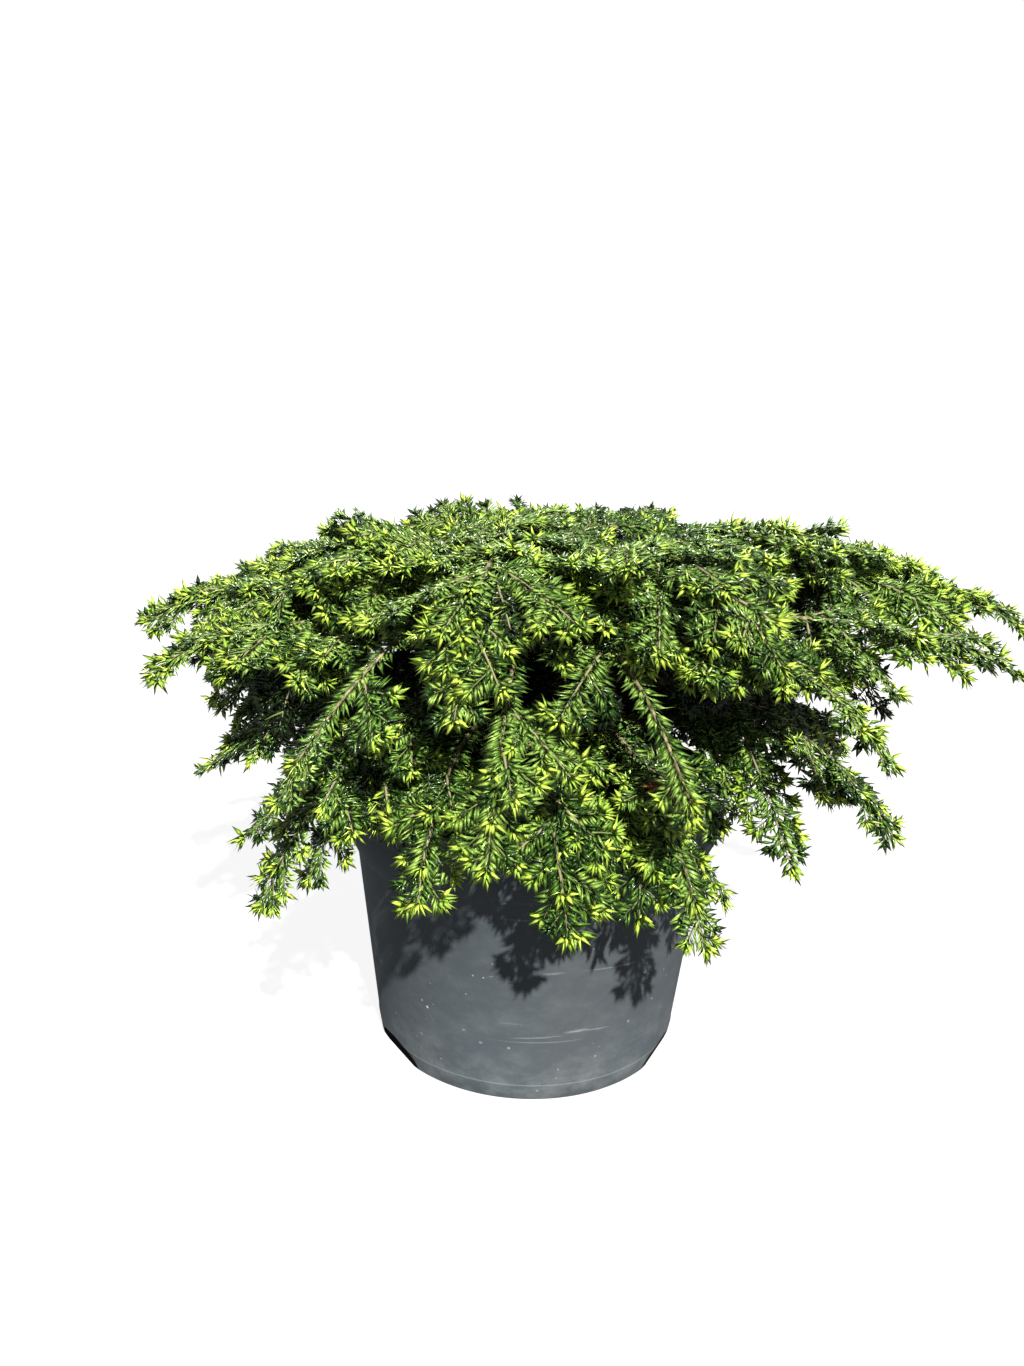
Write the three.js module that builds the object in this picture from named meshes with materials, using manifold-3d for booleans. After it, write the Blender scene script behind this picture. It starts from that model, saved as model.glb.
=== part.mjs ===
// Potted dwarf eastern hemlock: a low weeping conifer in a plastic nursery pot.
// Millimetres, +Z up. The origin is the centre of the pot's flat underside, and -Y is the front.
import * as THREE from "three";
import { mergeVertices } from "three/addons/utils/BufferGeometryUtils.js";
import Module from "manifold-3d";

const wasm = await Module();
wasm.setup();

// Driving dimensions
const clearance = 0.3; // left between neighbouring pieces

const pot = {
  sides: 32,
  wall: 1.4,
  floor: 2.4,
  footRadius: 65.6,
  footBevel: 1.6,
  waistRadius: 76.8, // where the straight wall meets the collar's chamfer
  waistHeight: 87.5,
  collarRadius: 83.2,
  collarHeight: 101.5,
  rimRadius: 85,
  rimHeight: 119,
  notchAngles: [93, 213, 333], // drainage notches at the foot, in degrees round the pot
  notchWidth: 33,
  notchHeight: 7,
  notchDepth: 5,
  notchFoot: 1, // how far the cut starts below the floor
  notchSpring: 0.35, // of its height, where the arch springs from the sides
  notchShoulder: 0.8, // of its half width, where the arch bends most
  notchCrown: 0.45, // of its half width, where the arch runs level
};

// Its top falls away a little from a flat middle to the wall
const soil = { height: 106, flatRadius: 46, edgeFall: 3, gap: 0.5 };

const trunk = {
  sides: 8,
  steps: 6,
  flareRadius: 10.5,
  flareHeight: 5,
  footRadius: 7.2,
  topRadius: 3.2,
  topHeight: 208,
  lean: new THREE.Vector2(-13, -7), // how far the top stands from the foot
  sway: new THREE.Vector2(2, 2.4), // how far its line swings the other way, low down
  knees: [0.35, 0.7], // where it bends, as shares of its height
  kneeLean: new THREE.Vector2(0.4, 0.5), // of the lean, at the upper bend
};

const limb = { sides: 4, rootRadius: 2.4, tipRadius: 1.5, steps: 3 };
const stem = { sides: 3, rootRadius: 1.6, tipRadius: 0.8, steps: 4 };

const blade = {
  teeth: 3, // on each side
  thickness: 2.4,
  notchShare: 0.42, // half width at a notch, as a share of that at a tooth's tip
  leastHalfWidth: 6, // and this much more for each millimetre of length
  widthShare: 0.15,
  teethShare: 0.92, // of the length that has teeth
  toothLean: 0.12, // of a tooth's tip towards the root, as a share of the space between two
  widestTooth: 1.9,
  fallOff: 0.2, // of the half width, one tooth away from the widest
  fallPower: 1.4,
  ridge: [0.1, 0.54], // where the ridge is thickest and where it has thinned, as shares of the length
  curl: 0.14, // fall of a blade's tip from its own line, as a share of its length
};

const growth = {
  spacing: { crown: 18, upper: 24, lower: 22 }, // between pairs of side sprays, of a bough's reach
  angle: 54, // between a side spray and its stem, in degrees
  angleChance: 8,
  droop: { crown: 10, upper: 14, lower: 18 }, // of the side sprays below the level, in degrees
  droopChance: 5,
  stagger: 11, // pairs hang by turns this much less and this much more, so that they pass over each other
  lengthChance: 0.12,
  tries: 9,
  firstFullness: 0.8, // length of the first pair, as a share of the longest
  fullnessRise: 0.6,
  taper: 0.8, // the pair at a spray's end is shorter by this share
  taperPower: 1.3,
  bends: [0.1, 0.02, -0.08, -0.02, 0.06], // of the lines to one side, in turn, as shares of the reach
  shorter: 0.89, // each try after the first is this much shorter
  layerWeight: 1.7, // height against level distance, when a spray is given to its nearest stem
  // Share of a blade's length, and how many times as far from its own stem as from another it may lie there
  slack: [
    [0.6, 1.25],
    [1, 1.7],
  ],
  spots: 14, // points along a stem that mark its space
};

// The leader carries on from the trunk's top, with sprays all round it
const leader = {
  top: new THREE.Vector3(-16, -10, 226),
  sprays: 12,
  lowShare: 0.35, // along the leader, where the lowest and the highest of them stand
  highShare: 0.95,
  side: 64,
  taper: 0.25, // the highest is shorter by this share
  lowAngle: 88, // between the lowest spray and the leader, in degrees
  highAngle: 84,
  goldenAngle: 137.5,
};

// Each bough is told by where its spray ends: the direction round the pot in degrees (0 is right, 270 is the
// front), the reach from the trunk, the height of the tip, the height of the root, the height that its arch
// aims for, and the length of its longest side sprays.
const crownSprays = [
  { name: "crown_right", azimuth: 6, reach: 170, tip: 206, root: 203, arch: 246, side: 64 },
  { name: "crown_right_back", azimuth: 56, reach: 142, tip: 200, root: 196, arch: 252, side: 68 },
  { name: "crown_back", azimuth: 106, reach: 130, tip: 190, root: 203, arch: 252, side: 68 },
  { name: "crown_left_back", azimuth: 154, reach: 126, tip: 192, root: 196, arch: 238, side: 64 },
  { name: "crown_left_front", azimuth: 205, reach: 120, tip: 190, root: 203, arch: 248, side: 62 },
  { name: "crown_front", azimuth: 256, reach: 122, tip: 172, root: 196, arch: 256, side: 64 },
  { name: "crown_front_right", azimuth: 309, reach: 134, tip: 182, root: 203, arch: 252, side: 66 },
];

const upperSprays = [
  { name: "upper_right", azimuth: 356, reach: 207, tip: 194, root: 188, arch: 228, side: 54 },
  { name: "upper_right_back", azimuth: 17, reach: 204, tip: 201, root: 179, arch: 234, side: 58 },
  { name: "upper_back_right", azimuth: 46, reach: 190, tip: 176, root: 170, arch: 232, side: 66 },
  { name: "upper_back", azimuth: 78, reach: 184, tip: 166, root: 188, arch: 230, side: 66 },
  { name: "upper_back_left", azimuth: 110, reach: 184, tip: 170, root: 179, arch: 232, side: 64 },
  { name: "upper_left_back", azimuth: 139, reach: 184, tip: 196, root: 170, arch: 222, side: 56 },
  { name: "upper_left", azimuth: 162, reach: 167, tip: 188, root: 188, arch: 218, side: 52 },
  { name: "upper_left_middle", azimuth: 185, reach: 165, tip: 186, root: 179, arch: 214, side: 52 },
  { name: "upper_left_front", azimuth: 206, reach: 161, tip: 177, root: 170, arch: 209, side: 52 },
  { name: "upper_front_left", azimuth: 233, reach: 146, tip: 146, root: 188, arch: 228, side: 60 },
  { name: "upper_front", azimuth: 263, reach: 140, tip: 134, root: 179, arch: 230, side: 60 },
  { name: "upper_front_right", azimuth: 292, reach: 140, tip: 140, root: 170, arch: 230, side: 60 },
  { name: "upper_right_front", azimuth: 319, reach: 160, tip: 162, root: 183, arch: 228, side: 58 },
  { name: "upper_right_low", azimuth: 339, reach: 192, tip: 186, root: 174, arch: 216, side: 52 },
];

const lowerSprays = [
  { name: "lower_right", azimuth: 335, reach: 154, tip: 120, root: 154, arch: 190, side: 52 },
  { name: "lower_right_back", azimuth: 18, reach: 160, tip: 118, root: 136, arch: 192, side: 66 },
  { name: "lower_back_right", azimuth: 66, reach: 156, tip: 104, root: 145, arch: 192, side: 70 },
  { name: "lower_back_left", azimuth: 114, reach: 154, tip: 106, root: 154, arch: 192, side: 70 },
  { name: "lower_left_back", azimuth: 168, reach: 152, tip: 138, root: 136, arch: 186, side: 60 },
  { name: "lower_left", azimuth: 194, reach: 147, tip: 119, root: 145, arch: 186, side: 52 },
  { name: "lower_left_front", azimuth: 225, reach: 140, tip: 100, root: 154, arch: 192, side: 50 },
  { name: "lower_front_left", azimuth: 252, reach: 130, tip: 114, root: 136, arch: 188, side: 54 },
  { name: "lower_front", azimuth: 275, reach: 128, tip: 106, root: 145, arch: 192, side: 54 },
  { name: "lower_front_right", azimuth: 297, reach: 130, tip: 98, root: 136, arch: 192, side: 50 },
];

// Where along its curve a bough ends and its spray begins, where the first side spray stands, and where the
// stem gives way to the spray at its end. The curve is drawn up to the arch at this share of the reach.
const limbShare = { crown: 0, upper: 0.42, lower: 0.46 };
const firstShare = { leader: 0.3, crown: 0.3, upper: 0.44, lower: 0.48 };
const endShare = 0.85;
const archShare = 0.56;

const materials = {
  pot: new THREE.MeshStandardMaterial({ color: 0x5b6366, roughness: 0.62, metalness: 0 }),
  soil: new THREE.MeshStandardMaterial({ color: 0x2b2019, roughness: 1, metalness: 0 }),
  bark: new THREE.MeshStandardMaterial({ color: 0x7a6248, roughness: 0.9, metalness: 0 }),
  needles: new THREE.MeshStandardMaterial({ color: 0x4f7f35, roughness: 0.6, metalness: 0 }),
};

const up = new THREE.Vector3(0, 0, 1);
const radians = THREE.MathUtils.degToRad;

// A plain seeded generator of numbers from 0 to 1, so that each spray grows the same way every time
function seededDraw(seed) {
  let state = (seed * 7919 + 17) % 4294967296;
  return () => {
    state = (state * 1664525 + 1013904223) % 4294967296;
    return state / 4294967296;
  };
}

// A number between -most and +most
function chance(draw, most) {
  return most * (2 * draw() - 1);
}

function toSolid(geometry) {
  const bare = geometry.clone();
  bare.deleteAttribute("normal");
  bare.deleteAttribute("uv");
  const merged = mergeVertices(bare, 1e-4);
  return new wasm.Manifold(
    new wasm.Mesh({
      numProp: 3,
      vertProperties: new Float32Array(merged.attributes.position.array),
      triVerts: new Uint32Array(merged.index.array),
    }),
  );
}

function toGeometry(solid) {
  const mesh = solid.getMesh();
  const positions = new Float32Array(mesh.numVert * 3);
  for (let i = 0; i < mesh.numVert; i++) {
    const start = i * mesh.numProp;
    positions.set(mesh.vertProperties.subarray(start, start + 3), i * 3);
  }
  const geometry = new THREE.BufferGeometry();
  geometry.setAttribute("position", new THREE.BufferAttribute(positions, 3));
  geometry.setIndex(new THREE.BufferAttribute(mesh.triVerts, 1));
  return geometry;
}

function indexedGeometry(points, triangles) {
  const geometry = new THREE.BufferGeometry().setFromPoints(points);
  geometry.setIndex(triangles.flat());
  return geometry;
}

// A closed tapering tube with flat ends along a curve, from share `from` to share `to` of it.
// Its sections are carried along without a twist.
function taperedTube(curve, from, to, rootRadius, tipRadius, sides, steps) {
  const points = [];
  const triangles = [];
  const across = sideways(curve.getTangent(from));
  for (let i = 0; i <= steps; i++) {
    const share = THREE.MathUtils.lerp(from, to, i / steps);
    const centre = curve.getPoint(share);
    const along = curve.getTangent(share);
    across.addScaledVector(along, -across.dot(along)).normalize();
    const other = new THREE.Vector3().crossVectors(along, across);
    const radius = THREE.MathUtils.lerp(rootRadius, tipRadius, i / steps);
    for (let k = 0; k < sides; k++) {
      const turn = (2 * Math.PI * k) / sides;
      const point = centre.clone().addScaledVector(across, radius * Math.cos(turn));
      points.push(point.addScaledVector(other, radius * Math.sin(turn)));
    }
  }
  for (let i = 0; i < steps; i++) {
    for (let k = 0; k < sides; k++) {
      const a = i * sides + k;
      const b = i * sides + ((k + 1) % sides);
      triangles.push([a, b, b + sides], [a, b + sides, a + sides]);
    }
  }
  const last = steps * sides;
  for (let k = 1; k < sides - 1; k++) {
    triangles.push([0, k + 1, k], [last, last + k, last + k + 1]);
  }
  return indexedGeometry(points, triangles);
}

// The level direction across a stem, or +X where the stem stands upright
function sideways(along) {
  const side = new THREE.Vector3().crossVectors(along, up);
  return side.lengthSq() > 1e-4 ? side.normalize() : new THREE.Vector3(1, 0, 0);
}

function lathe(profile) {
  const geometry = new THREE.LatheGeometry(
    profile.map(([radius, height]) => new THREE.Vector2(radius, height)),
    pot.sides,
  );
  return toSolid(geometry.rotateX(Math.PI / 2));
}

function wallRadius(height) {
  return THREE.MathUtils.mapLinear(
    height,
    pot.footBevel,
    pot.waistHeight,
    pot.footRadius + pot.footBevel,
    pot.waistRadius,
  );
}

function potSolid() {
  const inner = pot.wall;
  const shell = lathe([
    [0, 0],
    [pot.footRadius, 0],
    [pot.footRadius + pot.footBevel, pot.footBevel],
    [pot.waistRadius, pot.waistHeight],
    [pot.collarRadius, pot.collarHeight],
    [pot.rimRadius, pot.rimHeight],
    [pot.rimRadius - inner, pot.rimHeight],
    [pot.collarRadius - inner, pot.collarHeight],
    [pot.waistRadius - inner, pot.waistHeight + inner / 2],
    [wallRadius(pot.floor) - inner, pot.floor],
    [0, pot.floor],
  ]);
  return pot.notchAngles.reduce((body, angle) => body.subtract(notchSolid(angle)), shell);
}

// An arched opening through the foot of the wall, with its length along the pot's radius
function notchSolid(angle) {
  const half = pot.notchWidth / 2;
  const shoulder = half * pot.notchShoulder;
  const crown = half * pot.notchCrown;
  const top = pot.notchHeight;
  const spring = top * pot.notchSpring;
  const arch = new THREE.Shape();
  arch.moveTo(-half, -pot.notchFoot);
  arch.lineTo(half, -pot.notchFoot);
  arch.lineTo(half, spring);
  arch.quadraticCurveTo(shoulder, top, crown, top);
  arch.lineTo(-crown, top);
  arch.quadraticCurveTo(-shoulder, top, -half, spring);
  arch.closePath();
  const geometry = new THREE.ExtrudeGeometry(arch, {
    depth: 3 * pot.notchDepth,
    bevelEnabled: false,
    curveSegments: 3,
  });
  geometry.rotateX(Math.PI / 2).rotateZ(Math.PI / 2);
  geometry.translate(pot.footRadius - pot.notchDepth, 0, 0);
  return toSolid(geometry.rotateZ(radians(angle)));
}

// It fills the pot, and stands clear of it all round
function soilSolid() {
  const inset = pot.wall + soil.gap;
  const share = (soil.height - pot.collarHeight) / (pot.rimHeight - pot.collarHeight);
  const edge = THREE.MathUtils.lerp(pot.collarRadius, pot.rimRadius, share) - inset;
  return lathe([
    [0, pot.floor + soil.gap],
    [wallRadius(pot.floor) - inset, pot.floor + soil.gap],
    [pot.waistRadius - inset, pot.waistHeight + 2 * soil.gap],
    [pot.collarRadius - inset, pot.collarHeight + soil.gap],
    [edge, soil.height - soil.edgeFall],
    [soil.flatRadius, soil.height],
    [0, soil.height],
  ]);
}

function trunkCurve() {
  const foot = soil.height + clearance;
  const rise = trunk.topHeight - foot;
  const kneeLean = trunk.lean.clone().multiply(trunk.kneeLean);
  return new THREE.CatmullRomCurve3([
    new THREE.Vector3(0, 0, foot),
    new THREE.Vector3(trunk.sway.x, trunk.sway.y, foot + rise * trunk.knees[0]),
    new THREE.Vector3(kneeLean.x, kneeLean.y, foot + rise * trunk.knees[1]),
    new THREE.Vector3(trunk.lean.x, trunk.lean.y, trunk.topHeight),
  ]);
}

// Point on the trunk's centre line at a height
function trunkPoint(height) {
  const curve = trunkCurve();
  let low = 0;
  let high = 1;
  for (let i = 0; i < 24; i++) {
    const middle = (low + high) / 2;
    if (curve.getPoint(middle).z < height) low = middle;
    else high = middle;
  }
  return curve.getPoint(low);
}

// The trunk, or a copy that stands `swell` further out on all sides
function trunkSolid(swell = 0) {
  const curve = trunkCurve();
  const foot = curve.getPoint(0).z;
  const footRadius = trunk.footRadius + swell;
  const column = toSolid(
    taperedTube(curve, 0, 1, footRadius, trunk.topRadius + swell, trunk.sides, trunk.steps),
  );
  const flare = new THREE.CylinderGeometry(
    trunk.footRadius * 0.8 + swell,
    trunk.flareRadius + swell,
    trunk.flareHeight * 2,
    trunk.sides,
  );
  flare.rotateX(Math.PI / 2).translate(0, 0, foot + trunk.flareHeight);
  const side = 4 * trunk.flareRadius;
  const ground = new THREE.BoxGeometry(side, side, side).translate(0, 0, foot - side / 2);
  return column.add(toSolid(flare)).subtract(toSolid(ground));
}

// The line of a bough and its spray: out of the trunk, over the arch, and down to the tip. It swings out to
// one side on the way, by `bend` of its reach.
function boughCurve(spray, bend) {
  const root = trunkPoint(spray.root);
  const turn = radians(spray.azimuth);
  const outward = new THREE.Vector3(Math.cos(turn), Math.sin(turn), 0);
  const tip = outward.clone().multiplyScalar(spray.reach).setZ(spray.tip);
  const middle = outward
    .clone()
    .multiplyScalar(spray.reach * archShare)
    .addScaledVector(sideways(outward), spray.reach * bend)
    .setZ(spray.arch);
  return new THREE.QuadraticBezierCurve3(root, middle, tip);
}

// A spray of needles as a toothed blade with a ridge on both faces, pointed at both ends, in its own frame:
// x along, y across, z up. `swell` makes it stand that much further out.
function bladeGeometry(length, swell = 0) {
  const points = [];
  const add = (x, y, z) => points.push(new THREE.Vector3(x, y, z)) - 1;
  const root = add(-1, 0, 0);
  const tip = add(length + swell, 0, 0);
  const pitch = (length * blade.teethShare) / blade.teeth;
  const outline = [];
  for (let i = 1; i <= blade.teeth; i++) {
    const fullness = 1 - blade.fallOff * Math.abs(i - blade.widestTooth) ** blade.fallPower;
    const halfWidth = (blade.leastHalfWidth + blade.widthShare * length) * fullness;
    outline.push([(i - blade.toothLean) * pitch, halfWidth + swell]);
    outline.push([i * pitch, halfWidth * blade.notchShare + swell]);
  }
  const left = [root, ...outline.map(([x, y]) => add(x, y, 0)), tip];
  const right = [root, ...outline.map(([x, y]) => add(x, -y, 0)), tip];
  const ridge = (hand) => [
    root,
    add(length * blade.ridge[0], 0, hand * (blade.thickness / 2 + swell)),
    add(length * blade.ridge[1], 0, hand * (blade.thickness / 3 + swell)),
    tip,
  ];
  const top = ridge(1);
  const bottom = ridge(-1);
  return indexedGeometry(points, [
    ...stitch(points, left, top, false),
    ...stitch(points, right, top, true),
    ...stitch(points, left, bottom, true),
    ...stitch(points, right, bottom, false),
  ]);
}

// Triangles between an edge line and a ridge line that share both ends, taken in order along x
function stitch(points, edge, ridge, flip) {
  const triangles = [];
  let i = 1;
  let k = 1;
  triangles.push([edge[0], ridge[1], edge[1]]);
  while (i < edge.length - 2 || k < ridge.length - 2) {
    const edgeNext = i < edge.length - 2 ? points[edge[i + 1]].x : Infinity;
    const ridgeNext = k < ridge.length - 2 ? points[ridge[k + 1]].x : Infinity;
    if (edgeNext < ridgeNext) {
      triangles.push([edge[i], ridge[k], edge[i + 1]]);
      i++;
    } else {
      triangles.push([edge[i], ridge[k], ridge[k + 1]]);
      k++;
    }
  }
  triangles.push([edge[i], ridge[k], edge[i + 1]]);
  return flip ? triangles.map((triangle) => triangle.reverse()) : triangles;
}

// A blade as a solid where a shape puts it, bent so that its tip falls a little
function placeBlade({ origin, direction, face, length }, swell = 0) {
  const across = new THREE.Vector3().crossVectors(face, direction).normalize();
  const normal = new THREE.Vector3().crossVectors(direction, across);
  const place = new THREE.Matrix4().makeBasis(direction, across, normal).setPosition(origin);
  const geometry = bladeGeometry(length, swell);
  const position = geometry.getAttribute("position");
  const point = new THREE.Vector3();
  for (let i = 0; i < position.count; i++) {
    const share = Math.max(0, position.getX(i) / length);
    point.fromBufferAttribute(position, i).applyMatrix4(place);
    position.setXYZ(i, point.x, point.y, point.z - blade.curl * length * share * share);
  }
  return toSolid(geometry);
}

function trunkTop() {
  return trunkPoint(trunk.topHeight);
}

// The level direction across a stem, and the one that is square to both and looks up
function stemFrame(along) {
  const level = sideways(along);
  return { level, top: new THREE.Vector3().crossVectors(level, along).normalize() };
}

// The shapes that one side spray may take, best first. `lean` gives its direction square to the stem and the
// way its face looks, with some chance in it, and each try is a little shorter than the last.
function shapesToTry(draw, origin, along, angle, longest, lean) {
  return Array.from({ length: growth.tries }, (_, k) => {
    const turn = radians(angle + chance(draw, growth.angleChance));
    const { side, face } = lean(k);
    const direction = along
      .clone()
      .multiplyScalar(Math.cos(turn))
      .addScaledVector(side, Math.sin(turn));
    const length = longest * growth.shorter ** k * (1 + chance(draw, growth.lengthChance));
    return { origin, direction, face, length };
  });
}

// Side sprays in pairs along a stem, hanging a little on both sides of it, and one at its end
function frondPlaces(spray) {
  const draw = seededDraw(spray.index + 1);
  const first = firstShare[spray.tier];
  const pairs = Math.round((spray.reach * (1 - first)) / growth.spacing[spray.tier]);
  const places = [];
  for (let i = 0; i < 2 * pairs; i++) {
    const hand = i % 2 ? 1 : -1;
    const share = i / (2 * pairs);
    const t = first + (endShare - first) * share;
    const along = spray.curve.getTangent(t);
    const { level, top } = stemFrame(along);
    const rise = Math.min(1, growth.firstFullness + growth.fullnessRise * share);
    const fullness = rise * (1 - growth.taper * share ** growth.taperPower);
    const stagger = Math.floor(i / 2) % 2 ? growth.stagger : -growth.stagger;
    const lean = (k) => {
      const droopChance = growth.droopChance * (1 + 0.3 * k);
      const droop = radians(growth.droop[spray.tier] + stagger + chance(draw, droopChance));
      const side = level.clone().multiplyScalar(hand * Math.cos(droop));
      side.addScaledVector(top, -Math.sin(droop));
      const face = top.clone().multiplyScalar(Math.cos(droop));
      face.addScaledVector(level, hand * Math.sin(droop));
      return { side, face };
    };
    const origin = spray.curve.getPoint(t);
    places.push(shapesToTry(draw, origin, along, growth.angle, spray.side * fullness, lean));
  }
  const origin = spray.curve.getPoint(endShare - 0.01);
  const direction = spray.curve.getPoint(1).sub(origin);
  const length = direction.length();
  const face = stemFrame(direction.normalize()).top;
  places.push([{ origin, direction, face, length }]);
  return places;
}

// Side sprays in a spiral round the leader, spread flat below and steeper towards its tip
function leaderPlaces(spray) {
  const draw = seededDraw(spray.index + 1);
  const places = [];
  for (let i = 0; i < leader.sprays; i++) {
    const share = i / (leader.sprays - 1);
    const t = THREE.MathUtils.lerp(leader.lowShare, leader.highShare, share);
    const along = spray.curve.getTangent(t);
    const { level, top } = stemFrame(along);
    const turn = radians(leader.goldenAngle * i);
    const side = level.clone().multiplyScalar(Math.cos(turn)).addScaledVector(top, Math.sin(turn));
    const angle = THREE.MathUtils.lerp(leader.lowAngle, leader.highAngle, share);
    const origin = spray.curve.getPoint(t);
    const longest = leader.side * (1 - leader.taper * share);
    places.push(shapesToTry(draw, origin, along, angle, longest, () => ({ side, face: along })));
  }
  return places;
}

// Every spray with its own line, its stretch of that line, and points along it that mark its space
function planSprays() {
  const leaderLine = new THREE.LineCurve3(trunkTop(), leader.top);
  const planned = [{ name: "crown_top", tier: "leader", curve: leaderLine, start: 0 }];
  for (const [tier, entries] of Object.entries({
    crown: crownSprays,
    upper: upperSprays,
    lower: lowerSprays,
  })) {
    for (const entry of entries) {
      const bend = growth.bends[planned.length % growth.bends.length];
      planned.push({ ...entry, tier, curve: boughCurve(entry, bend), start: limbShare[tier] });
    }
  }
  return planned.map((spray, index) => {
    const spots = Array.from({ length: growth.spots }, (_, i) => {
      const share = i / (growth.spots - 1);
      return spray.curve.getPoint(THREE.MathUtils.lerp(firstShare[spray.tier], 1, share));
    });
    return { ...spray, index, spots, blades: [] };
  });
}

// A bough as one tapering limb, cut clear of the trunk
function boughSolid(spray) {
  const tube = taperedTube(
    spray.curve,
    0,
    spray.start - halfGapShare(spray),
    limb.rootRadius,
    limb.tipRadius,
    limb.sides,
    limb.steps,
  );
  return largestBody(toSolid(tube).subtract(swollenTrunk));
}

// A spray's own stem, which starts clear of its bough's tip or of the trunk
function stemSolid(spray) {
  const from = spray.start + halfGapShare(spray);
  const to = spray.tier === "leader" ? 1 : endShare;
  const rootRadius = spray.tier === "leader" ? trunk.topRadius * 0.8 : stem.rootRadius;
  const tube = toSolid(
    taperedTube(spray.curve, from, to, rootRadius, stem.tipRadius, stem.sides, stem.steps),
  );
  return spray.start > 0 ? tube : largestBody(tube.subtract(swollenTrunk));
}

function halfGapShare(spray) {
  return clearance / 2 / spray.curve.getLength();
}

function largestBody(solid) {
  const bodies = solid.decompose();
  return bodies.reduce((best, body) => (body.volume() > best.volume() ? body : best));
}

// How far a point lies from a stem. The layers are wide and thin, so height counts for more.
function layerDistance(point, spots) {
  const distances = spots.map((spot) =>
    Math.hypot(spot.x - point.x, spot.y - point.y, growth.layerWeight * (spot.z - point.z)),
  );
  return Math.min(...distances);
}

// True if a blade's middle and tip lie at least about as near to its own stem as to any other
function keepsToItsSpace(spray, shape) {
  return growth.slack.every(([share, slack]) => {
    const point = shape.origin.clone().addScaledVector(shape.direction, shape.length * share);
    point.z -= blade.curl * shape.length * share * share;
    const own = layerDistance(point, spray.spots) / slack;
    return sprays.every((other) => other === spray || own < layerDistance(point, other.spots));
  });
}

function boxesMeet(a, b) {
  return [0, 1, 2].every((axis) => a.min[axis] <= b.max[axis] && b.min[axis] <= a.max[axis]);
}

function meets(a, b) {
  return boxesMeet(a.boundingBox(), b.boundingBox()) && a.intersect(b).volume() > 0;
}

// Grows the first shape that keeps to its space and touches nothing but its own stem
function growSide(spray, shapes) {
  const others = sprays.flatMap((other) => (other === spray ? [] : [other.stem, ...other.blades]));
  const standing = [...limbs, ...others, ...spray.blades];
  const fits = (shape) => {
    if (!keepsToItsSpace(spray, shape)) return false;
    const swollen = placeBlade(shape, clearance);
    return !standing.some((solid) => meets(swollen, solid));
  };
  const chosen = shapes.find(fits);
  if (chosen) spray.blades.push(placeBlade(chosen));
}

const group = new THREE.Group();

function addPart(name, solid, material) {
  const mesh = new THREE.Mesh(toGeometry(solid), material);
  mesh.name = name;
  group.add(mesh);
  return solid;
}

const swollenTrunk = trunkSolid(clearance);
const sprays = planSprays();
const limbs = [
  addPart("pot", potSolid(), materials.pot),
  addPart("soil", soilSolid(), materials.soil),
  swollenTrunk,
];
addPart("trunk", trunkSolid(), materials.bark);
for (const spray of sprays) {
  if (spray.start > 0) limbs.push(addPart(`bough_${spray.name}`, boughSolid(spray), materials.bark));
}

// The sides are grown in rounds, from the tips inwards, so that no spray takes another's room
for (const spray of sprays) {
  spray.stem = stemSolid(spray);
  spray.places = spray.tier === "leader" ? leaderPlaces(spray) : frondPlaces(spray);
}
while (sprays.some((spray) => spray.places.length > 0)) {
  for (const spray of sprays) {
    if (spray.places.length > 0) growSide(spray, spray.places.pop());
  }
}
for (const spray of sprays) {
  const fused = spray.blades.reduce((body, side) => body.add(side), spray.stem);
  addPart(`foliage_${spray.name}`, largestBody(fused), materials.needles);
}

export default group;
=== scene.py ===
import math

import bpy
import numpy as np
from mathutils import Matrix, Vector


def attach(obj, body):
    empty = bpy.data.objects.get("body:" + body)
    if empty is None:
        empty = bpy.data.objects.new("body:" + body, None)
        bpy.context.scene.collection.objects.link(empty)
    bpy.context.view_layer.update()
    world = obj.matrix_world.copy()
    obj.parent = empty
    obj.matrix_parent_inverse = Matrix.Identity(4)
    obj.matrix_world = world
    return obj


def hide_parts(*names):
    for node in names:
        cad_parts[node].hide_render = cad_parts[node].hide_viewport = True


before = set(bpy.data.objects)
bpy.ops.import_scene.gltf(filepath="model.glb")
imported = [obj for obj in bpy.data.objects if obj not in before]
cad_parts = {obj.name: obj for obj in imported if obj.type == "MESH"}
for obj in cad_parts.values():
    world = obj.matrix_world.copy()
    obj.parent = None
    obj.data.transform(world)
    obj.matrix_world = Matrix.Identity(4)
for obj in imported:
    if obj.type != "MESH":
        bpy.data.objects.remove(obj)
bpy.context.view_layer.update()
mm = 0.001
up = Vector((0, 0, 1))

# where each random pattern starts, so that every run grows the same plant
seeds = {"trunk": 3, "inside": 9, "chips": 11, "oddFronds": 77, "limbs": 100, "fronds": 500}


# camera and light

cameraSetup = {
    "place": (-0.0103, -0.441, 0.271),  # metres
    "lookDown": 14.27,  # degrees below the level
    "roll": 1.66,
    "lens": 27.72,
    "sensor": 36,  # millimetres along the picture's long side
    "pictureSize": (1024, 1366),  # the photograph's, in pixels
}

lightSetup = {
    "sunTurn": 14,  # degrees to the right of straight ahead
    "sunHeight": 41,  # degrees above the level
    "sunAngle": 1.3,  # degrees that the sun is wide, for the softness of shadows
    "sunPower": 9.4,
    "sunColour": (1.0, 0.975, 0.91),
    "skyColour": (0.93, 0.97, 1.0),
    "skyPower": 0.24,
}


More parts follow.
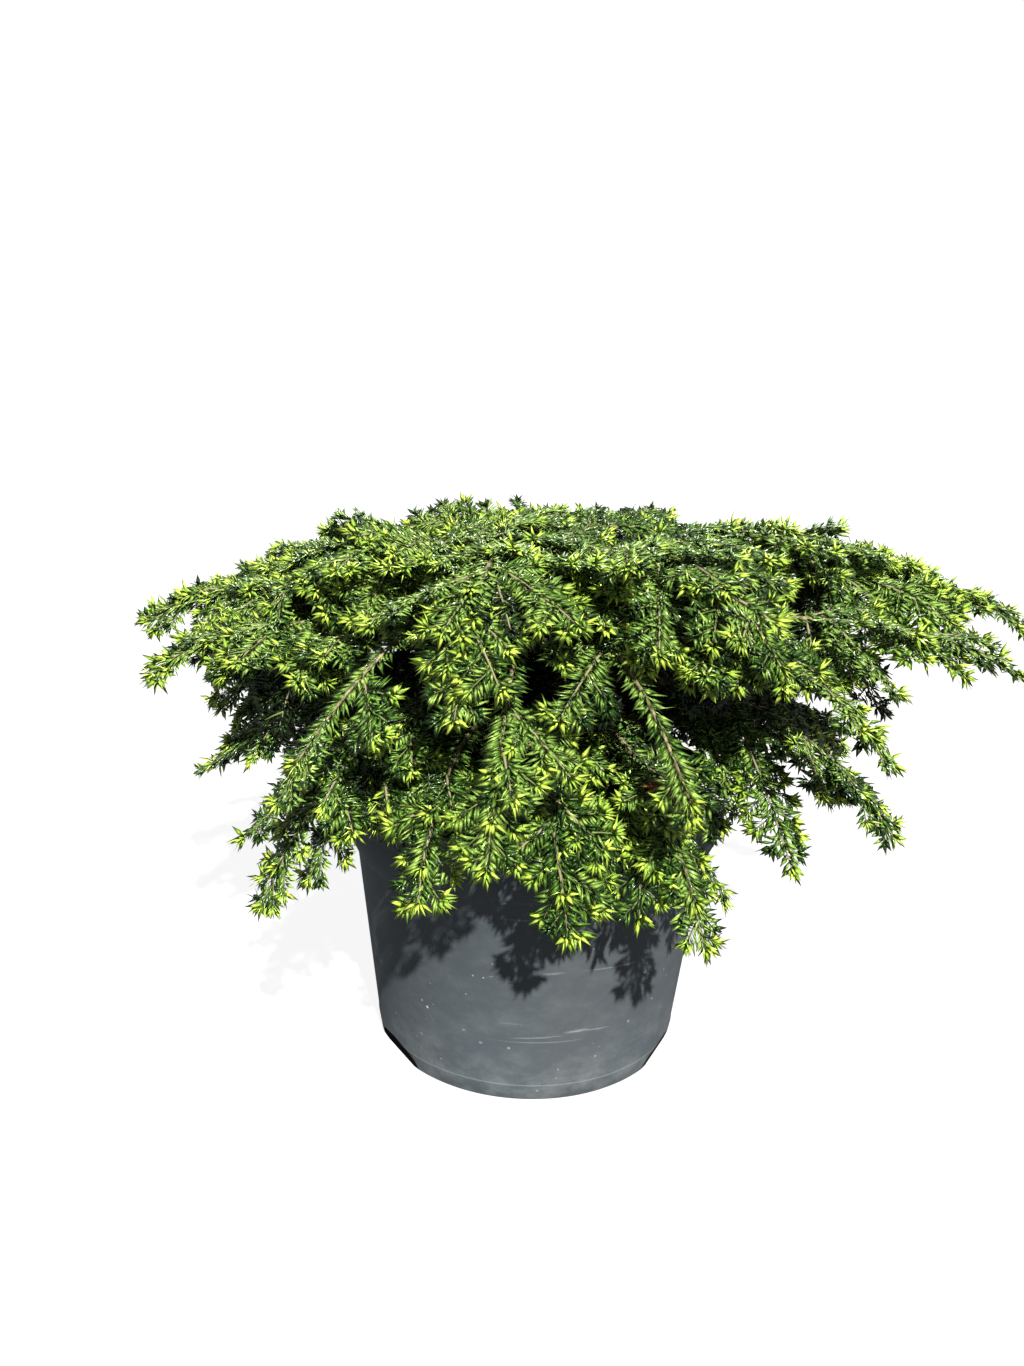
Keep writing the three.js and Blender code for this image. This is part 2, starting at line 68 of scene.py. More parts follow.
def addCamera(setup):
    camera = bpy.data.objects.new("camera", bpy.data.cameras.new("camera"))
    camera.data.lens = setup["lens"]
    camera.data.sensor_width = setup["sensor"]
    camera.data.clip_start = 0.01
    camera.data.clip_end = 50
    tilt = Matrix.Rotation(math.radians(90 - setup["lookDown"]), 4, "X")
    roll = Matrix.Rotation(math.radians(setup["roll"]), 4, "Z")
    camera.matrix_world = Matrix.Translation(setup["place"]) @ tilt @ roll
    bpy.context.scene.collection.objects.link(camera)
    bpy.context.scene.camera = camera


def addLights(setup):
    sun = bpy.data.objects.new("sun", bpy.data.lights.new("sun", "SUN"))
    sun.data.energy = setup["sunPower"]
    sun.data.angle = math.radians(setup["sunAngle"])
    sun.data.color = setup["sunColour"]
    turn = math.radians(setup["sunTurn"])
    height = math.radians(setup["sunHeight"])
    level = math.cos(height)
    towards = Vector((math.sin(turn) * level, -math.cos(turn) * level, math.sin(height)))
    sun.rotation_mode = "QUATERNION"
    sun.rotation_quaternion = towards.to_track_quat("Z", "Y")
    bpy.context.scene.collection.objects.link(sun)
    world = bpy.data.worlds.new("studio")
    world.use_nodes = True
    world.node_tree.nodes["Background"].inputs["Color"].default_value = (*setup["skyColour"], 1)
    world.node_tree.nodes["Background"].inputs["Strength"].default_value = setup["skyPower"]
    bpy.context.scene.world = world


bpy.context.scene.view_settings.view_transform = "Standard"
addCamera(cameraSetup)
addLights(lightSetup)
print("camera and light are in place")


# materials

def newMaterial(name, colour, roughness, specular=0.5, ior=1.5):
    material = bpy.data.materials.new(name)
    material.use_nodes = True
    shader = material.node_tree.nodes["Principled BSDF"]
    shader.inputs["Base Color"].default_value = (*colour, 1)
    shader.inputs["Roughness"].default_value = roughness
    shader.inputs["Specular IOR Level"].default_value = specular
    shader.inputs["IOR"].default_value = ior
    return material


def addNode(material, kind, **values):
    node = material.node_tree.nodes.new(kind)
    for name, value in values.items():
        if name in node.inputs:
            node.inputs[name].default_value = value
        else:
            setattr(node, name, value)
    return node


def link(material, output, target):
    material.node_tree.links.new(output, target)


def objectPattern(material, scale):
    # the piece's own coordinates, stretched by scale
    place = addNode(material, "ShaderNodeTexCoord")
    mapping = addNode(material, "ShaderNodeMapping", Scale=scale)
    link(material, place.outputs["Object"], mapping.inputs["Vector"])
    return mapping.outputs["Vector"]


def noisePattern(material, stretch, **values):
    noise = addNode(material, "ShaderNodeTexNoise", **values)
    link(material, objectPattern(material, stretch), noise.inputs["Vector"])
    return noise.outputs["Fac"]


def addBump(material, height, strength, distance):
    bump = addNode(material, "ShaderNodeBump", Strength=strength, Distance=distance)
    link(material, height, bump.inputs["Height"])
    link(material, bump.outputs["Normal"], material.node_tree.nodes["Principled BSDF"].inputs["Normal"])


def rampNode(material, factor, stops):
    ramp = addNode(material, "ShaderNodeValToRGB")
    elements = ramp.color_ramp.elements
    while len(elements) < len(stops):
        elements.new(0.5)
    for element, (place, colour) in zip(elements, stops):
        element.position = place
        element.color = (*colour, 1)
    link(material, factor, ramp.inputs["Fac"])
    return ramp.outputs["Color"]


def shareRamp(material, factor, stops):
    # a ramp of greys, as shares from 0 to 1
    return rampNode(material, factor, [(place, (share, share, share)) for place, share in stops])


def mixColour(material, factor, first, second, blend="MIX"):
    mixer = addNode(material, "ShaderNodeMix", data_type="RGBA", blend_type=blend)
    for socket, value in ((mixer.inputs[0], factor), (mixer.inputs[6], first), (mixer.inputs[7], second)):
        if isinstance(value, bpy.types.NodeSocket):
            link(material, value, socket)
        elif isinstance(value, tuple):
            socket.default_value = (*value, 1)
        else:
            socket.default_value = value
    return mixer.outputs[2]


# growth rule, as the part's source has it; lengths are in millimetres until a mesh is made

soilHeight = 106
clearance = 0.3

trunkShape = {
    "flareRadius": 10.5,
    "flareHeight": 5,
    "footRadius": 7.2,
    "topRadius": 3.2,
    "topHeight": 208,
    "lean": (-13, -7),
    "sway": 4,
}

# for each spray: azimuth round the pot in degrees (0 is right, 270 the front), reach, height of the tip,
# height of the root, height that the arch aims for, length of the longest side sprays
crownSprays = {
    "crown_right": (6, 170, 206, 203, 246, 64),
    "crown_right_back": (56, 142, 200, 196, 252, 68),
    "crown_back": (106, 130, 190, 203, 252, 68),
    "crown_left_back": (154, 126, 192, 196, 238, 64),
    "crown_left_front": (205, 120, 190, 203, 248, 62),
    "crown_front": (256, 122, 172, 196, 256, 64),
    "crown_front_right": (309, 134, 182, 203, 252, 66),
}

upperSprays = {
    "upper_right": (356, 207, 194, 188, 228, 54),
    "upper_right_back": (17, 204, 201, 179, 234, 58),
    "upper_back_right": (46, 190, 176, 170, 232, 66),
    "upper_back": (78, 184, 166, 188, 230, 66),
    "upper_back_left": (110, 184, 170, 179, 232, 64),
    "upper_left_back": (139, 184, 196, 170, 222, 56),
    "upper_left": (162, 167, 188, 188, 218, 52),
    "upper_left_middle": (185, 165, 186, 179, 214, 52),
    "upper_left_front": (206, 161, 177, 170, 209, 52),
    "upper_front_left": (233, 146, 146, 188, 228, 60),
    "upper_front": (263, 140, 134, 179, 230, 60),
    "upper_front_right": (292, 140, 140, 170, 230, 60),
    "upper_right_front": (319, 160, 162, 183, 228, 58),
    "upper_right_low": (339, 192, 186, 174, 216, 52),
}

lowerSprays = {
    "lower_right": (335, 154, 120, 154, 190, 52),
    "lower_right_back": (18, 160, 118, 136, 192, 66),
    "lower_back_right": (66, 156, 104, 145, 192, 70),
    "lower_back_left": (114, 154, 106, 154, 192, 70),
    "lower_left_back": (168, 152, 138, 136, 186, 60),
    "lower_left": (194, 147, 119, 145, 186, 52),
    "lower_left_front": (225, 140, 100, 154, 192, 50),
    "lower_front_left": (252, 130, 114, 136, 188, 54),
    "lower_front": (275, 128, 106, 145, 192, 54),
    "lower_front_right": (297, 130, 98, 136, 192, 50),
}

growth = {
    "spacing": {"crown": 18, "upper": 24, "lower": 22},  # of the pairs of fronds along a bough
    "angle": 54,  # degrees between a frond and its bough
    "angleChance": 8,
    "droop": {"crown": 10, "upper": 14, "lower": 18},
    "droopChance": 5,
    "stagger": 11,  # degrees that pairs hang more and less by turns
    "lengthChance": 0.12,
    "tries": 9,
    "shorter": 0.89,  # from one try to the next
    "firstFullness": 0.8,
    "fullnessRise": 0.6,
    "taper": 0.8,
    "taperPower": 1.3,
    "bends": (0.1, 0.02, -0.08, -0.02, 0.06),  # to the side, as shares of a bough's reach
    "curl": 0.14,  # how far a frond's tip hangs, as a share of its length
}

leader = {
    "top": (-16, -10, 226),
    "sprays": 12,
    "lowShare": 0.35,
    "highShare": 0.95,
    "side": 64,
    "taper": 0.25,
    "lowAngle": 88,
    "highAngle": 84,
    "goldenAngle": 137.5,
}

# shares of a bough's line: where the bare limb ends, where the fronds start and end, and its arch's middle
limbShare = {"leader": 0, "crown": 0, "upper": 0.42, "lower": 0.46}
firstShare = {"leader": 0.3, "crown": 0.3, "upper": 0.44, "lower": 0.48}
endShare = 0.85
archShare = 0.56


def seededDraw(seed):
    # numbers from 0 to 1, the same ones as the source draws
    state = (seed * 7919 + 17) % 2**32
    while True:
        state = (state * 1664525 + 1013904223) % 2**32
        yield state / 2**32


def chance(draw, most):
    return most * (2 * next(draw) - 1)


def mix(a, b, share):
    return a + (b - a) * share


def turned(first, second, angle):
    # what points from the first direction towards the second by an angle
    return first * math.cos(angle) + second * math.sin(angle)


def trunkKnots():
    foot = soilHeight + clearance
    rise = trunkShape["topHeight"] - foot
    leanX, leanY = trunkShape["lean"]
    sway = trunkShape["sway"]
    return [
        Vector((0, 0, foot)),
        Vector((sway * 0.5, sway * 0.6, foot + rise * 0.35)),
        Vector((leanX * 0.4, leanY * 0.5, foot + rise * 0.7)),
        Vector((leanX, leanY, trunkShape["topHeight"])),
    ]


def trunkLine(share):
    # a centripetal curve through the knots
    knots = trunkKnots()
    knots = [2 * knots[0] - knots[1], *knots, 2 * knots[-1] - knots[-2]]
    piece = min(int(share * 3), 2)
    t = share * 3 - piece
    p0, p1, p2, p3 = knots[piece:piece + 4]
    d0, d1, d2 = ((b - a).length ** 0.5 for a, b in ((p0, p1), (p1, p2), (p2, p3)))
    leave = ((p1 - p0) / d0 - (p2 - p0) / (d0 + d1) + (p2 - p1) / d1) * d1
    arrive = ((p2 - p1) / d1 - (p3 - p1) / (d1 + d2) + (p3 - p2) / d2) * d1
    bend = -3 * p1 + 3 * p2 - 2 * leave - arrive
    twist = 2 * p1 - 2 * p2 + leave + arrive
    return p1 + leave * t + bend * t * t + twist * t**3


def trunkPoint(height):
    low, high = 0, 1
    for _ in range(24):
        middle = (low + high) / 2
        if trunkLine(middle).z < height:
            low = middle
        else:
            high = middle
    return trunkLine(low)


def boughLine(azimuth, reach, tipHeight, rootHeight, archHeight, bend):
    root = trunkPoint(rootHeight)
    turn = math.radians(azimuth)
    outward = Vector((math.cos(turn), math.sin(turn), 0))
    tip = outward * reach + up * tipHeight
    middle = outward * reach * archShare + stemFrame(outward)[0] * reach * bend + up * archHeight
    return lambda t: root * (1 - t) ** 2 + middle * 2 * t * (1 - t) + tip * t * t


def alongLine(line, share):
    return (line(min(1, share + 1e-4)) - line(max(0, share - 1e-4))).normalized()


def stemFrame(along):
    # the level direction across a stem, and the one square to both that looks up
    level = along.cross(up)
    level = level.normalized() if level.length > 0.01 else Vector((1, 0, 0))
    return level, level.cross(along).normalized()


def shapesToTry(draw, origin, along, angle, longest, lean):
    shapes = []
    for k in range(growth["tries"]):
        turn = math.radians(angle + chance(draw, growth["angleChance"]))
        side, face = lean(k)
        direction = turned(along, side, turn)
        length = longest * growth["shorter"] ** k * (1 + chance(draw, growth["lengthChance"]))
        shapes.append((origin, direction, face, length))
    return shapes


def frondPlaces(spray):
    draw = seededDraw(spray["index"] + 1)
    tier = spray["tier"]
    first = firstShare[tier]
    pairs = int(spray["reach"] * (1 - first) / growth["spacing"][tier] + 0.5)
    places = []
    for i in range(2 * pairs):
        hand = 1 if i % 2 else -1
        share = i / (2 * pairs)
        t = mix(first, endShare, share)
        along = alongLine(spray["line"], t)
        level, top = stemFrame(along)
        rise = min(1, growth["firstFullness"] + growth["fullnessRise"] * share)
        fullness = rise * (1 - growth["taper"] * share ** growth["taperPower"])
        stagger = growth["stagger"] * (1 if i // 2 % 2 else -1)

        def lean(k):
            most = growth["droopChance"] * (1 + 0.3 * k)
            droop = math.radians(growth["droop"][tier] + stagger + chance(draw, most))
            return turned(level * hand, top, -droop), turned(top, level * hand, droop)

        longest = spray["side"] * fullness
        shapes = shapesToTry(draw, spray["line"](t), along, growth["angle"], longest, lean)
        places.append(shapes)
    origin = spray["line"](endShare - 0.01)
    direction = spray["line"](1) - origin
    length = direction.length
    direction.normalize()
    places.append([(origin, direction, stemFrame(direction)[1], length)])
    return places


def leaderPlaces(spray):
    draw = seededDraw(spray["index"] + 1)
    places = []
    for i in range(leader["sprays"]):
        share = i / (leader["sprays"] - 1)
        t = mix(leader["lowShare"], leader["highShare"], share)
        along = alongLine(spray["line"], t)
        level, top = stemFrame(along)
        side = turned(level, top, math.radians(leader["goldenAngle"] * i))
        angle = mix(leader["lowAngle"], leader["highAngle"], share)
        longest = leader["side"] * (1 - leader["taper"] * share)

        def lean(k):
            return side, along

        places.append(shapesToTry(draw, spray["line"](t), along, angle, longest, lean))
    return places


def planSprays():
    top = trunkPoint(trunkShape["topHeight"])
    leaderTop = Vector(leader["top"])
    sprays = [{"name": "crown_top", "tier": "leader", "line": lambda t: top.lerp(leaderTop, t)}]
    for tier, entries in (("crown", crownSprays), ("upper", upperSprays), ("lower", lowerSprays)):
        for name, (azimuth, reach, tip, root, arch, side) in entries.items():
            bend = growth["bends"][len(sprays) % len(growth["bends"])]
            line = boughLine(azimuth, reach, tip, root, arch, bend)
            sprays.append({"name": name, "tier": tier, "reach": reach, "side": side, "line": line})
    for index, spray in enumerate(sprays):
        spray["index"] = index
        spray["places"] = leaderPlaces(spray) if spray["tier"] == "leader" else frondPlaces(spray)
    return sprays


# tubes and meshes from arrays

def tubeArrays(points, radii, sides):
    # a tapering tube along points with closed ends, its sections carried on without a twist
    across = stemFrame((points[1] - points[0]).normalized())[0]
    verts, faces = [], []
    for i, point in enumerate(points):
        ahead = points[min(i + 1, len(points) - 1)] - points[max(i - 1, 0)]
        along = ahead.normalized()
        across = (across - along * across.dot(along)).normalized()
        other = along.cross(across)
        for k in range(sides):
            verts.append(point + turned(across, other, 2 * math.pi * k / sides) * radii[i])
    for i in range(len(points) - 1):
        for k in range(sides):
            a = i * sides + k
            b = i * sides + (k + 1) % sides
            faces.append((a, b, b + sides, a + sides))
    last = (len(points) - 1) * sides
    faces.append(tuple(range(sides - 1, -1, -1)))
    faces.append(tuple(range(last, last + sides)))
    return verts, faces


def meshPiece(name, verts, faces, materials, indices=None, smooth=False):
    # verts are in millimetres; indices gives each face's material
    mesh = bpy.data.meshes.new(name)
    mesh.from_pydata([tuple(Vector(v) * mm) for v in verts], [], faces)
    for material in materials:
        mesh.materials.append(material)
    if indices is not None:
        mesh.polygons.foreach_set("material_index", indices)
    mesh.polygons.foreach_set("use_smooth", [smooth] * len(mesh.polygons))
    mesh.update()
    piece = bpy.data.objects.new(name, mesh)
    bpy.context.scene.collection.objects.link(piece)
    return piece


# pot: thin moulded plastic shell with a flared collar, a foot ring and three drainage notches

potShape = {
    "segments": 144,
    "wall": 1.3 * mm,
    "floor": 2.2 * mm,
    "foot": (65.6 * mm, 0),
    "footEdge": (66.6 * mm, 0.9 * mm),
    "footRing": (67.8 * mm, 8.0 * mm),
    "aboveRing": (67.68 * mm, 8.7 * mm),
    "waist": (76.7 * mm, 87.3 * mm),
    "collarFoot": (77.0 * mm, 88.0 * mm),
    "collar": (83.0 * mm, 101.3 * mm),
    "lipFoot": (84.2 * mm, 113.6 * mm),
    "lip": (84.9 * mm, 114.4 * mm),
    "rim": (85.0 * mm, 119.0 * mm),
    "rimWidth": 2.2 * mm,
    "notchAngles": (93, 213, 333),
    "notchWidth": 33 * mm,
    "notchHeight": 8.6 * mm,
    "notchDepth": 1.1 * mm,  # into the floor
    "notchCutter": 14 * mm,  # length of the shape that cuts a notch
    "softEdge": 0.35 * mm,
}

potFinish = {
    "plastic": (0.052, 0.067, 0.080),
    "warm": (0.059, 0.069, 0.077),
    "dust": (0.22, 0.24, 0.25),
    "rub": (0.30, 0.34, 0.35),
    "speck": (0.5, 0.53, 0.52),
    "shade": (0.006, 0.006, 0.007),  # painted shade inside the drainage notches
    "roughness": (0.46, 0.66),
    "footDust": [(0, 0.8), (26 * mm, 0)],  # height above the floor, share of dust
    "paleRingLine": [(7.3 * mm, 0), (7.7 * mm, 0.3), (8.2 * mm, 0)],  # height above the floor, share of a pale line round the foot ring
    "markDepth": 30 * mm,  # more than the wall curves away along a mark
}

# the rubs and specks in the photograph: turn round the pot in degrees, height, half length and half
# height in millimetres, slope in degrees, strength
potMarks = {
    "lowRubLeft": (273, 31.3, 13, 0.45, 3, 0.4),
    "lowRubMiddle": (286, 33.4, 6, 0.8, 3, 0.5),
    "lowRubRight": (293, 32.8, 8, 0.4, -4, 0.45),
    "highRub": (296, 61.2, 15, 0.45, -3, 0.35),
    "highRubBright": (302, 60.6, 5, 0.6, -3, 0.4),
    "shadedRub": (277, 61.5, 6, 0.7, 2, 0.35),
    "rightSpeck": (310.3, 53.5, 1.1, 0.8, 30, 1),
    "rightLowSpeck": (306, 31.8, 0.7, 0.7, 0, 0.9),
    "leftSpeck": (232.4, 38.4, 0.7, 0.8, 0, 0.8),
    "middleLowSpeck": (263.9, 25.8, 0.8, 0.8, 0, 0.7),
    "leftMiddleSpeck": (248.5, 31, 0.8, 0.6, 0, 0.6),
    "leftLowSpeck": (254.4, 26.6, 1.1, 0.8, 0, 0.5),
    "middleHighSpeck": (258.1, 58.8, 1.4, 0.4, 20, 0.4),
}


def deselectAll():
    bpy.ops.object.select_all(action="DESELECT")


def activate(piece):
    deselectAll()
    piece.select_set(True)
    bpy.context.view_layer.objects.active = piece


def selectFaces(piece, wanted):
    bpy.ops.object.mode_set(mode="EDIT")
    bpy.ops.mesh.select_mode(type="FACE")
    bpy.ops.mesh.select_all(action="DESELECT")
    bpy.ops.object.mode_set(mode="OBJECT")
    for face in piece.data.polygons:
        face.select = wanted(face)
    bpy.ops.object.mode_set(mode="EDIT")


def growRing(ring, fromRing):
    # extrudes the selected cap from one ring of the profile to the next
    (radius, height), (oldRadius, oldHeight) = ring, fromRing
    bpy.ops.mesh.extrude_region_move(TRANSFORM_OT_translate={"value": (0, 0, height - oldHeight)})
    share = radius / oldRadius
    bpy.ops.transform.resize(value=(share, share, 1), center_override=(0, 0, height))


def applyModifier(piece, name, kind, **values):
    modifier = piece.modifiers.new(name, kind)
    for key, value in values.items():
        setattr(modifier, key, value)
    activate(piece)
    bpy.ops.object.modifier_apply(modifier=modifier.name)


def placeApplied(piece):
    activate(piece)
    bpy.ops.object.transform_apply(location=True, rotation=True, scale=True)


def makePot(shape):
    lowRings = ("foot", "footEdge", "footRing", "aboveRing", "waist")
    highRings = ("collarFoot", "collar", "lipFoot", "lip", "rim")
    outside = [shape[ring] for ring in lowRings + highRings]
    wall = shape["wall"]
    rimRadius, rimHeight = shape["rim"]
    inside = [
        (rimRadius - shape["rimWidth"], rimHeight),
        (rimRadius - shape["rimWidth"], rimHeight - 3 * mm),
        (shape["collar"][0] - wall, shape["collar"][1]),
        (shape["collarFoot"][0] - wall, shape["collarFoot"][1]),
        (shape["aboveRing"][0] - wall, shape["floor"]),
    ]
    deselectAll()
    firstRadius, firstHeight = outside[1]
    bpy.ops.mesh.primitive_cylinder_add(
        vertices=shape["segments"],
        radius=firstRadius,
        depth=firstHeight,
        location=(0, 0, firstHeight / 2),
    )
    pot = bpy.context.object
    pot.name = "nurseryPot"
    pot.data.materials.append(plasticMaterial(potFinish))
    pot.data.materials.append(newMaterial("notchShade", potFinish["shade"], roughness=0.9, specular=0.1))
    placeApplied(pot)
    selectFaces(pot, lambda face: face.normal.z < -0.9)
    share = outside[0][0] / firstRadius
    bpy.ops.transform.resize(value=(share, share, 1), center_override=(0, 0, 0))
    bpy.ops.object.mode_set(mode="OBJECT")
    selectFaces(pot, lambda face: face.normal.z > 0.9)
    rings = outside[1:] + inside
    for ring, fromRing in zip(rings[1:], rings):
        growRing(ring, fromRing)
    bpy.ops.object.mode_set(mode="OBJECT")
    for angle in shape["notchAngles"]:
        cutNotch(pot, shape, math.radians(angle))
    applyModifier(
        pot, "soft edges", "BEVEL",
        width=shape["softEdge"], segments=2, limit_method="ANGLE", angle_limit=0.6,
    )
    activate(pot)
    bpy.ops.object.shade_smooth_by_angle(angle=math.radians(35))
    return pot


def cutNotch(pot, shape, angle):
    # a low arch through the foot of the wall, and a little way into the floor
    deselectAll()
    depth = shape["notchCutter"]
    middle = shape["foot"][0] - shape["notchDepth"] + depth / 2
    bpy.ops.mesh.primitive_cylinder_add(
        vertices=48,
        radius=1,
        depth=depth,
        location=(middle * math.cos(angle), middle * math.sin(angle), 0),
        rotation=(0, math.pi / 2, angle),
        scale=(shape["notchHeight"], shape["notchWidth"] / 2, 1),
    )
    cutter = bpy.context.object
    # the cutter's second material lands on the pot's second one, the notches' painted shade
    for name in ("outside", "inside"):
        cutter.data.materials.append(bpy.data.materials.new(name))
    cutter.data.polygons.foreach_set("material_index", [1] * len(cutter.data.polygons))
    placeApplied(cutter)
    applyModifier(pot, "notch", "BOOLEAN", operation="DIFFERENCE", object=cutter, solver="EXACT")
    bpy.data.objects.remove(cutter)


def plasticMaterial(finish):
    material = newMaterial("duskyPlastic", finish["plastic"], roughness=0.55, specular=0.42)
    shader = material.node_tree.nodes["Principled BSDF"]
    broad = noisePattern(material, (1, 1, 0.45), Scale=9.0, Detail=3.0, Roughness=0.55)
    tone = rampNode(material, broad, [(0.35, finish["plastic"]), (0.68, finish["warm"])])
    film = noisePattern(material, (1, 1, 1.6), Scale=60.0, Detail=6.0, Roughness=0.7)
    filmShare = shareRamp(material, film, [(0.45, 0), (0.95, 0.22)])
    tone = mixColour(material, filmShare, tone, finish["dust"])
    dustSpecks = speckShare(material, scale=260, size=0.14, rare=0.62)
    tone = mixColour(material, dustSpecks, tone, finish["dust"])
    paleSpecks = speckShare(material, scale=120, size=0.11, rare=0.74)
    tone = mixColour(material, paleSpecks, tone, finish["speck"])
    tone = mixColour(material, scuffShare(material), tone, finish["dust"])
    patchy = shareRamp(material, film, [(0.4, 0), (0.75, 0.5)])
    footDust = mixColour(material, 1.0, heightShare(material, finish["footDust"]), patchy, "MULTIPLY")
    tone = mixColour(material, footDust, tone, finish["dust"])
    tone = mixColour(material, heightShare(material, finish["paleRingLine"]), tone, finish["rub"])
    for mark in potMarks.values():
        tone = mixColour(material, markShare(material, finish["markDepth"], *mark), tone, finish["rub"])
    link(material, tone, shader.inputs["Base Color"])
    low, high = finish["roughness"]
    limits = {"From Min": 0.3, "From Max": 0.7, "To Min": low, "To Max": high}
    rough = addNode(material, "ShaderNodeMapRange", **limits)
    link(material, film, rough.inputs["Value"])
    link(material, rough.outputs["Result"], shader.inputs["Roughness"])
    grain = noisePattern(material, (1, 1, 0.5), Scale=900.0, Detail=4.0, Roughness=0.6)
    addBump(material, grain, strength=0.35, distance=0.2 * mm)
    return material


def heightShare(material, stops):
    # a share that changes with the height above the floor
    top = stops[-1][0]
    height = addNode(material, "ShaderNodeSeparateXYZ")
    link(material, objectPattern(material, (1, 1, 1)), height.inputs["Vector"])
    scaled = addNode(material, "ShaderNodeMapRange", **{"From Min": 0.0, "From Max": top})
    link(material, height.outputs["Z"], scaled.inputs["Value"])
    return shareRamp(material, scaled.outputs["Result"], [(level / top, share) for level, share in stops])


def markShare(material, depth, turn, height, halfLength, halfHeight, slope, strength):
    # one rub or speck, uneven along its length, at its place on the wall
    turn = math.radians(turn)
    (lowRadius, lowHeight), (highRadius, highHeight) = potShape["aboveRing"], potShape["waist"]
    radius = mix(lowRadius, highRadius, (height * mm - lowHeight) / (highHeight - lowHeight))
    place = addNode(material, "ShaderNodeMapping", vector_type="TEXTURE")
    onWall = (radius * math.cos(turn), radius * math.sin(turn), height * mm)
    place.inputs["Location"].default_value = onWall
    place.inputs["Rotation"].default_value = (math.radians(slope), 0, turn)
    place.inputs["Scale"].default_value = (depth, halfLength * mm, halfHeight * mm)
    link(material, objectPattern(material, (1, 1, 1)), place.inputs["Vector"])
    streaks = addNode(material, "ShaderNodeTexNoise", Scale=2.5, Detail=3.0)
    link(material, place.outputs["Vector"], streaks.inputs["Vector"])
    distance = addNode(material, "ShaderNodeVectorMath", operation="LENGTH")
    link(material, place.outputs["Vector"], distance.inputs[0])
    inside = shareRamp(material, distance.outputs["Value"], [(0.35, strength), (1.0, 0)])
    broken = shareRamp(material, streaks.outputs["Fac"], [(0.36, 0.25), (0.56, 1)])
    return mixColour(material, 1.0, inside, broken, "MULTIPLY")


def speckShare(material, scale, size, rare):
    # round specks, kept only where a second pattern is high
    cells = addNode(material, "ShaderNodeTexVoronoi", Scale=float(scale))
    link(material, objectPattern(material, (1, 1, 1)), cells.inputs["Vector"])
    spot = shareRamp(material, cells.outputs["Distance"], [(size * 0.5, 1), (size, 0)])
    where = noisePattern(material, (1, 1, 1), Scale=scale * 0.23, Detail=1.0)
    kept = shareRamp(material, where, [(rare - 0.04, 0), (rare, 1)])
    return mixColour(material, 1.0, spot, kept, "MULTIPLY")


def scuffShare(material):
    # level rubs round the wall, broken up along their length
    lines = noisePattern(material, (6, 6, 420), Scale=1.0, Detail=2.0, Roughness=0.4)
    fine = shareRamp(material, lines, [(0.66, 0), (0.74, 0.55)])
    where = noisePattern(material, (1, 1, 2.2), Scale=24.0, Detail=2.0)
    kept = shareRamp(material, where, [(0.5, 0), (0.62, 1)])
    return mixColour(material, 1.0, fine, kept, "MULTIPLY")


pot = makePot(potShape)
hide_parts("pot")
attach(pot, "root")
print("pot:", len(pot.data.polygons), "faces")


# compost: a plug with a rough top, strewn with bark chips and crumbs

compostShape = {
    "segments": 72,
    "foot": (56 * mm, 3.2 * mm),
    "lowWall": (65.5 * mm, 12 * mm),
    "waist": (74.2 * mm, 87.5 * mm),
    "shoulder": (80.6 * mm, 101.8 * mm),
    "edge": (80.9 * mm, 102.6 * mm),
    "crown": (46 * mm, 105.0 * mm),
    "rings": 9,
    "roughness": 1.6 * mm,
    "slab": 1 * mm,  # height of the disc that it is drawn up from
    "chips": 420,
    "chipSize": (1.0 * mm, 4.2 * mm),
    "gritShare": 0.12,  # of the chips
    "chipLift": (-0.3, 0.4),  # millimetres above the top
    "chipTilt": (0.5, 0.4),  # most radians about its length and across it
    "chipBreadth": (0.35, 0.8),  # share of its length
    "chipThickness": (0.15, 0.4),
    "chipCorner": (0.65, 1.0),  # how far out its corners are
    "reach": 79 * mm,
}

compostFinish = {
    "dark": (0.012, 0.008, 0.006),
    "brown": (0.062, 0.036, 0.021),
    "chip": (0.105, 0.060, 0.032),
    "grit": (0.42, 0.40, 0.36),
}


def makeCompost(shape):
    deselectAll()
    rings = [shape[ring] for ring in ("foot", "lowWall", "waist", "shoulder", "edge", "crown")]
    radius, height = rings[0]
    bpy.ops.mesh.primitive_cylinder_add(
        vertices=shape["segments"],
        radius=radius,
        depth=shape["slab"],
        location=(0, 0, height + shape["slab"] / 2),
    )
    compost = bpy.context.object
    compost.name = "compost"
    placeApplied(compost)
    selectFaces(compost, lambda face: face.normal.z > 0.9)
    rings[0] = (radius, height + shape["slab"])
    for ring, fromRing in zip(rings[1:], rings):
        growRing(ring, fromRing)
    radius, height = rings[-1]
    step = 1 / (shape["rings"] + 1)
    for i in range(shape["rings"]):
        share = 1 - (i + 1) / (shape["rings"] + 1)
        growRing((radius * share, height), (radius * (share + step), height))
    bpy.ops.mesh.poke()
    bpy.ops.object.mode_set(mode="OBJECT")
    group = compost.vertex_groups.new(name="top")
    group.add([v.index for v in compost.data.vertices if v.co.z > shape["edge"][1] - 1e-5], 1.0, "REPLACE")
    applyModifier(compost, "finer", "SUBSURF", subdivision_type="SIMPLE", levels=1, render_levels=1)
    for name, size, strength in (("heaps", 14 * mm, 1.4), ("lumps", 3.5 * mm, 1.0)):
        texture = bpy.data.textures.new(name, "CLOUDS")
        texture.noise_scale = size
        applyModifier(
            compost, name, "DISPLACE",
            texture=texture, strength=strength * shape["roughness"], mid_level=0.62, vertex_group="top",
            texture_coords="LOCAL", direction="Z",
        )
    bpy.ops.object.shade_smooth()
    return compost


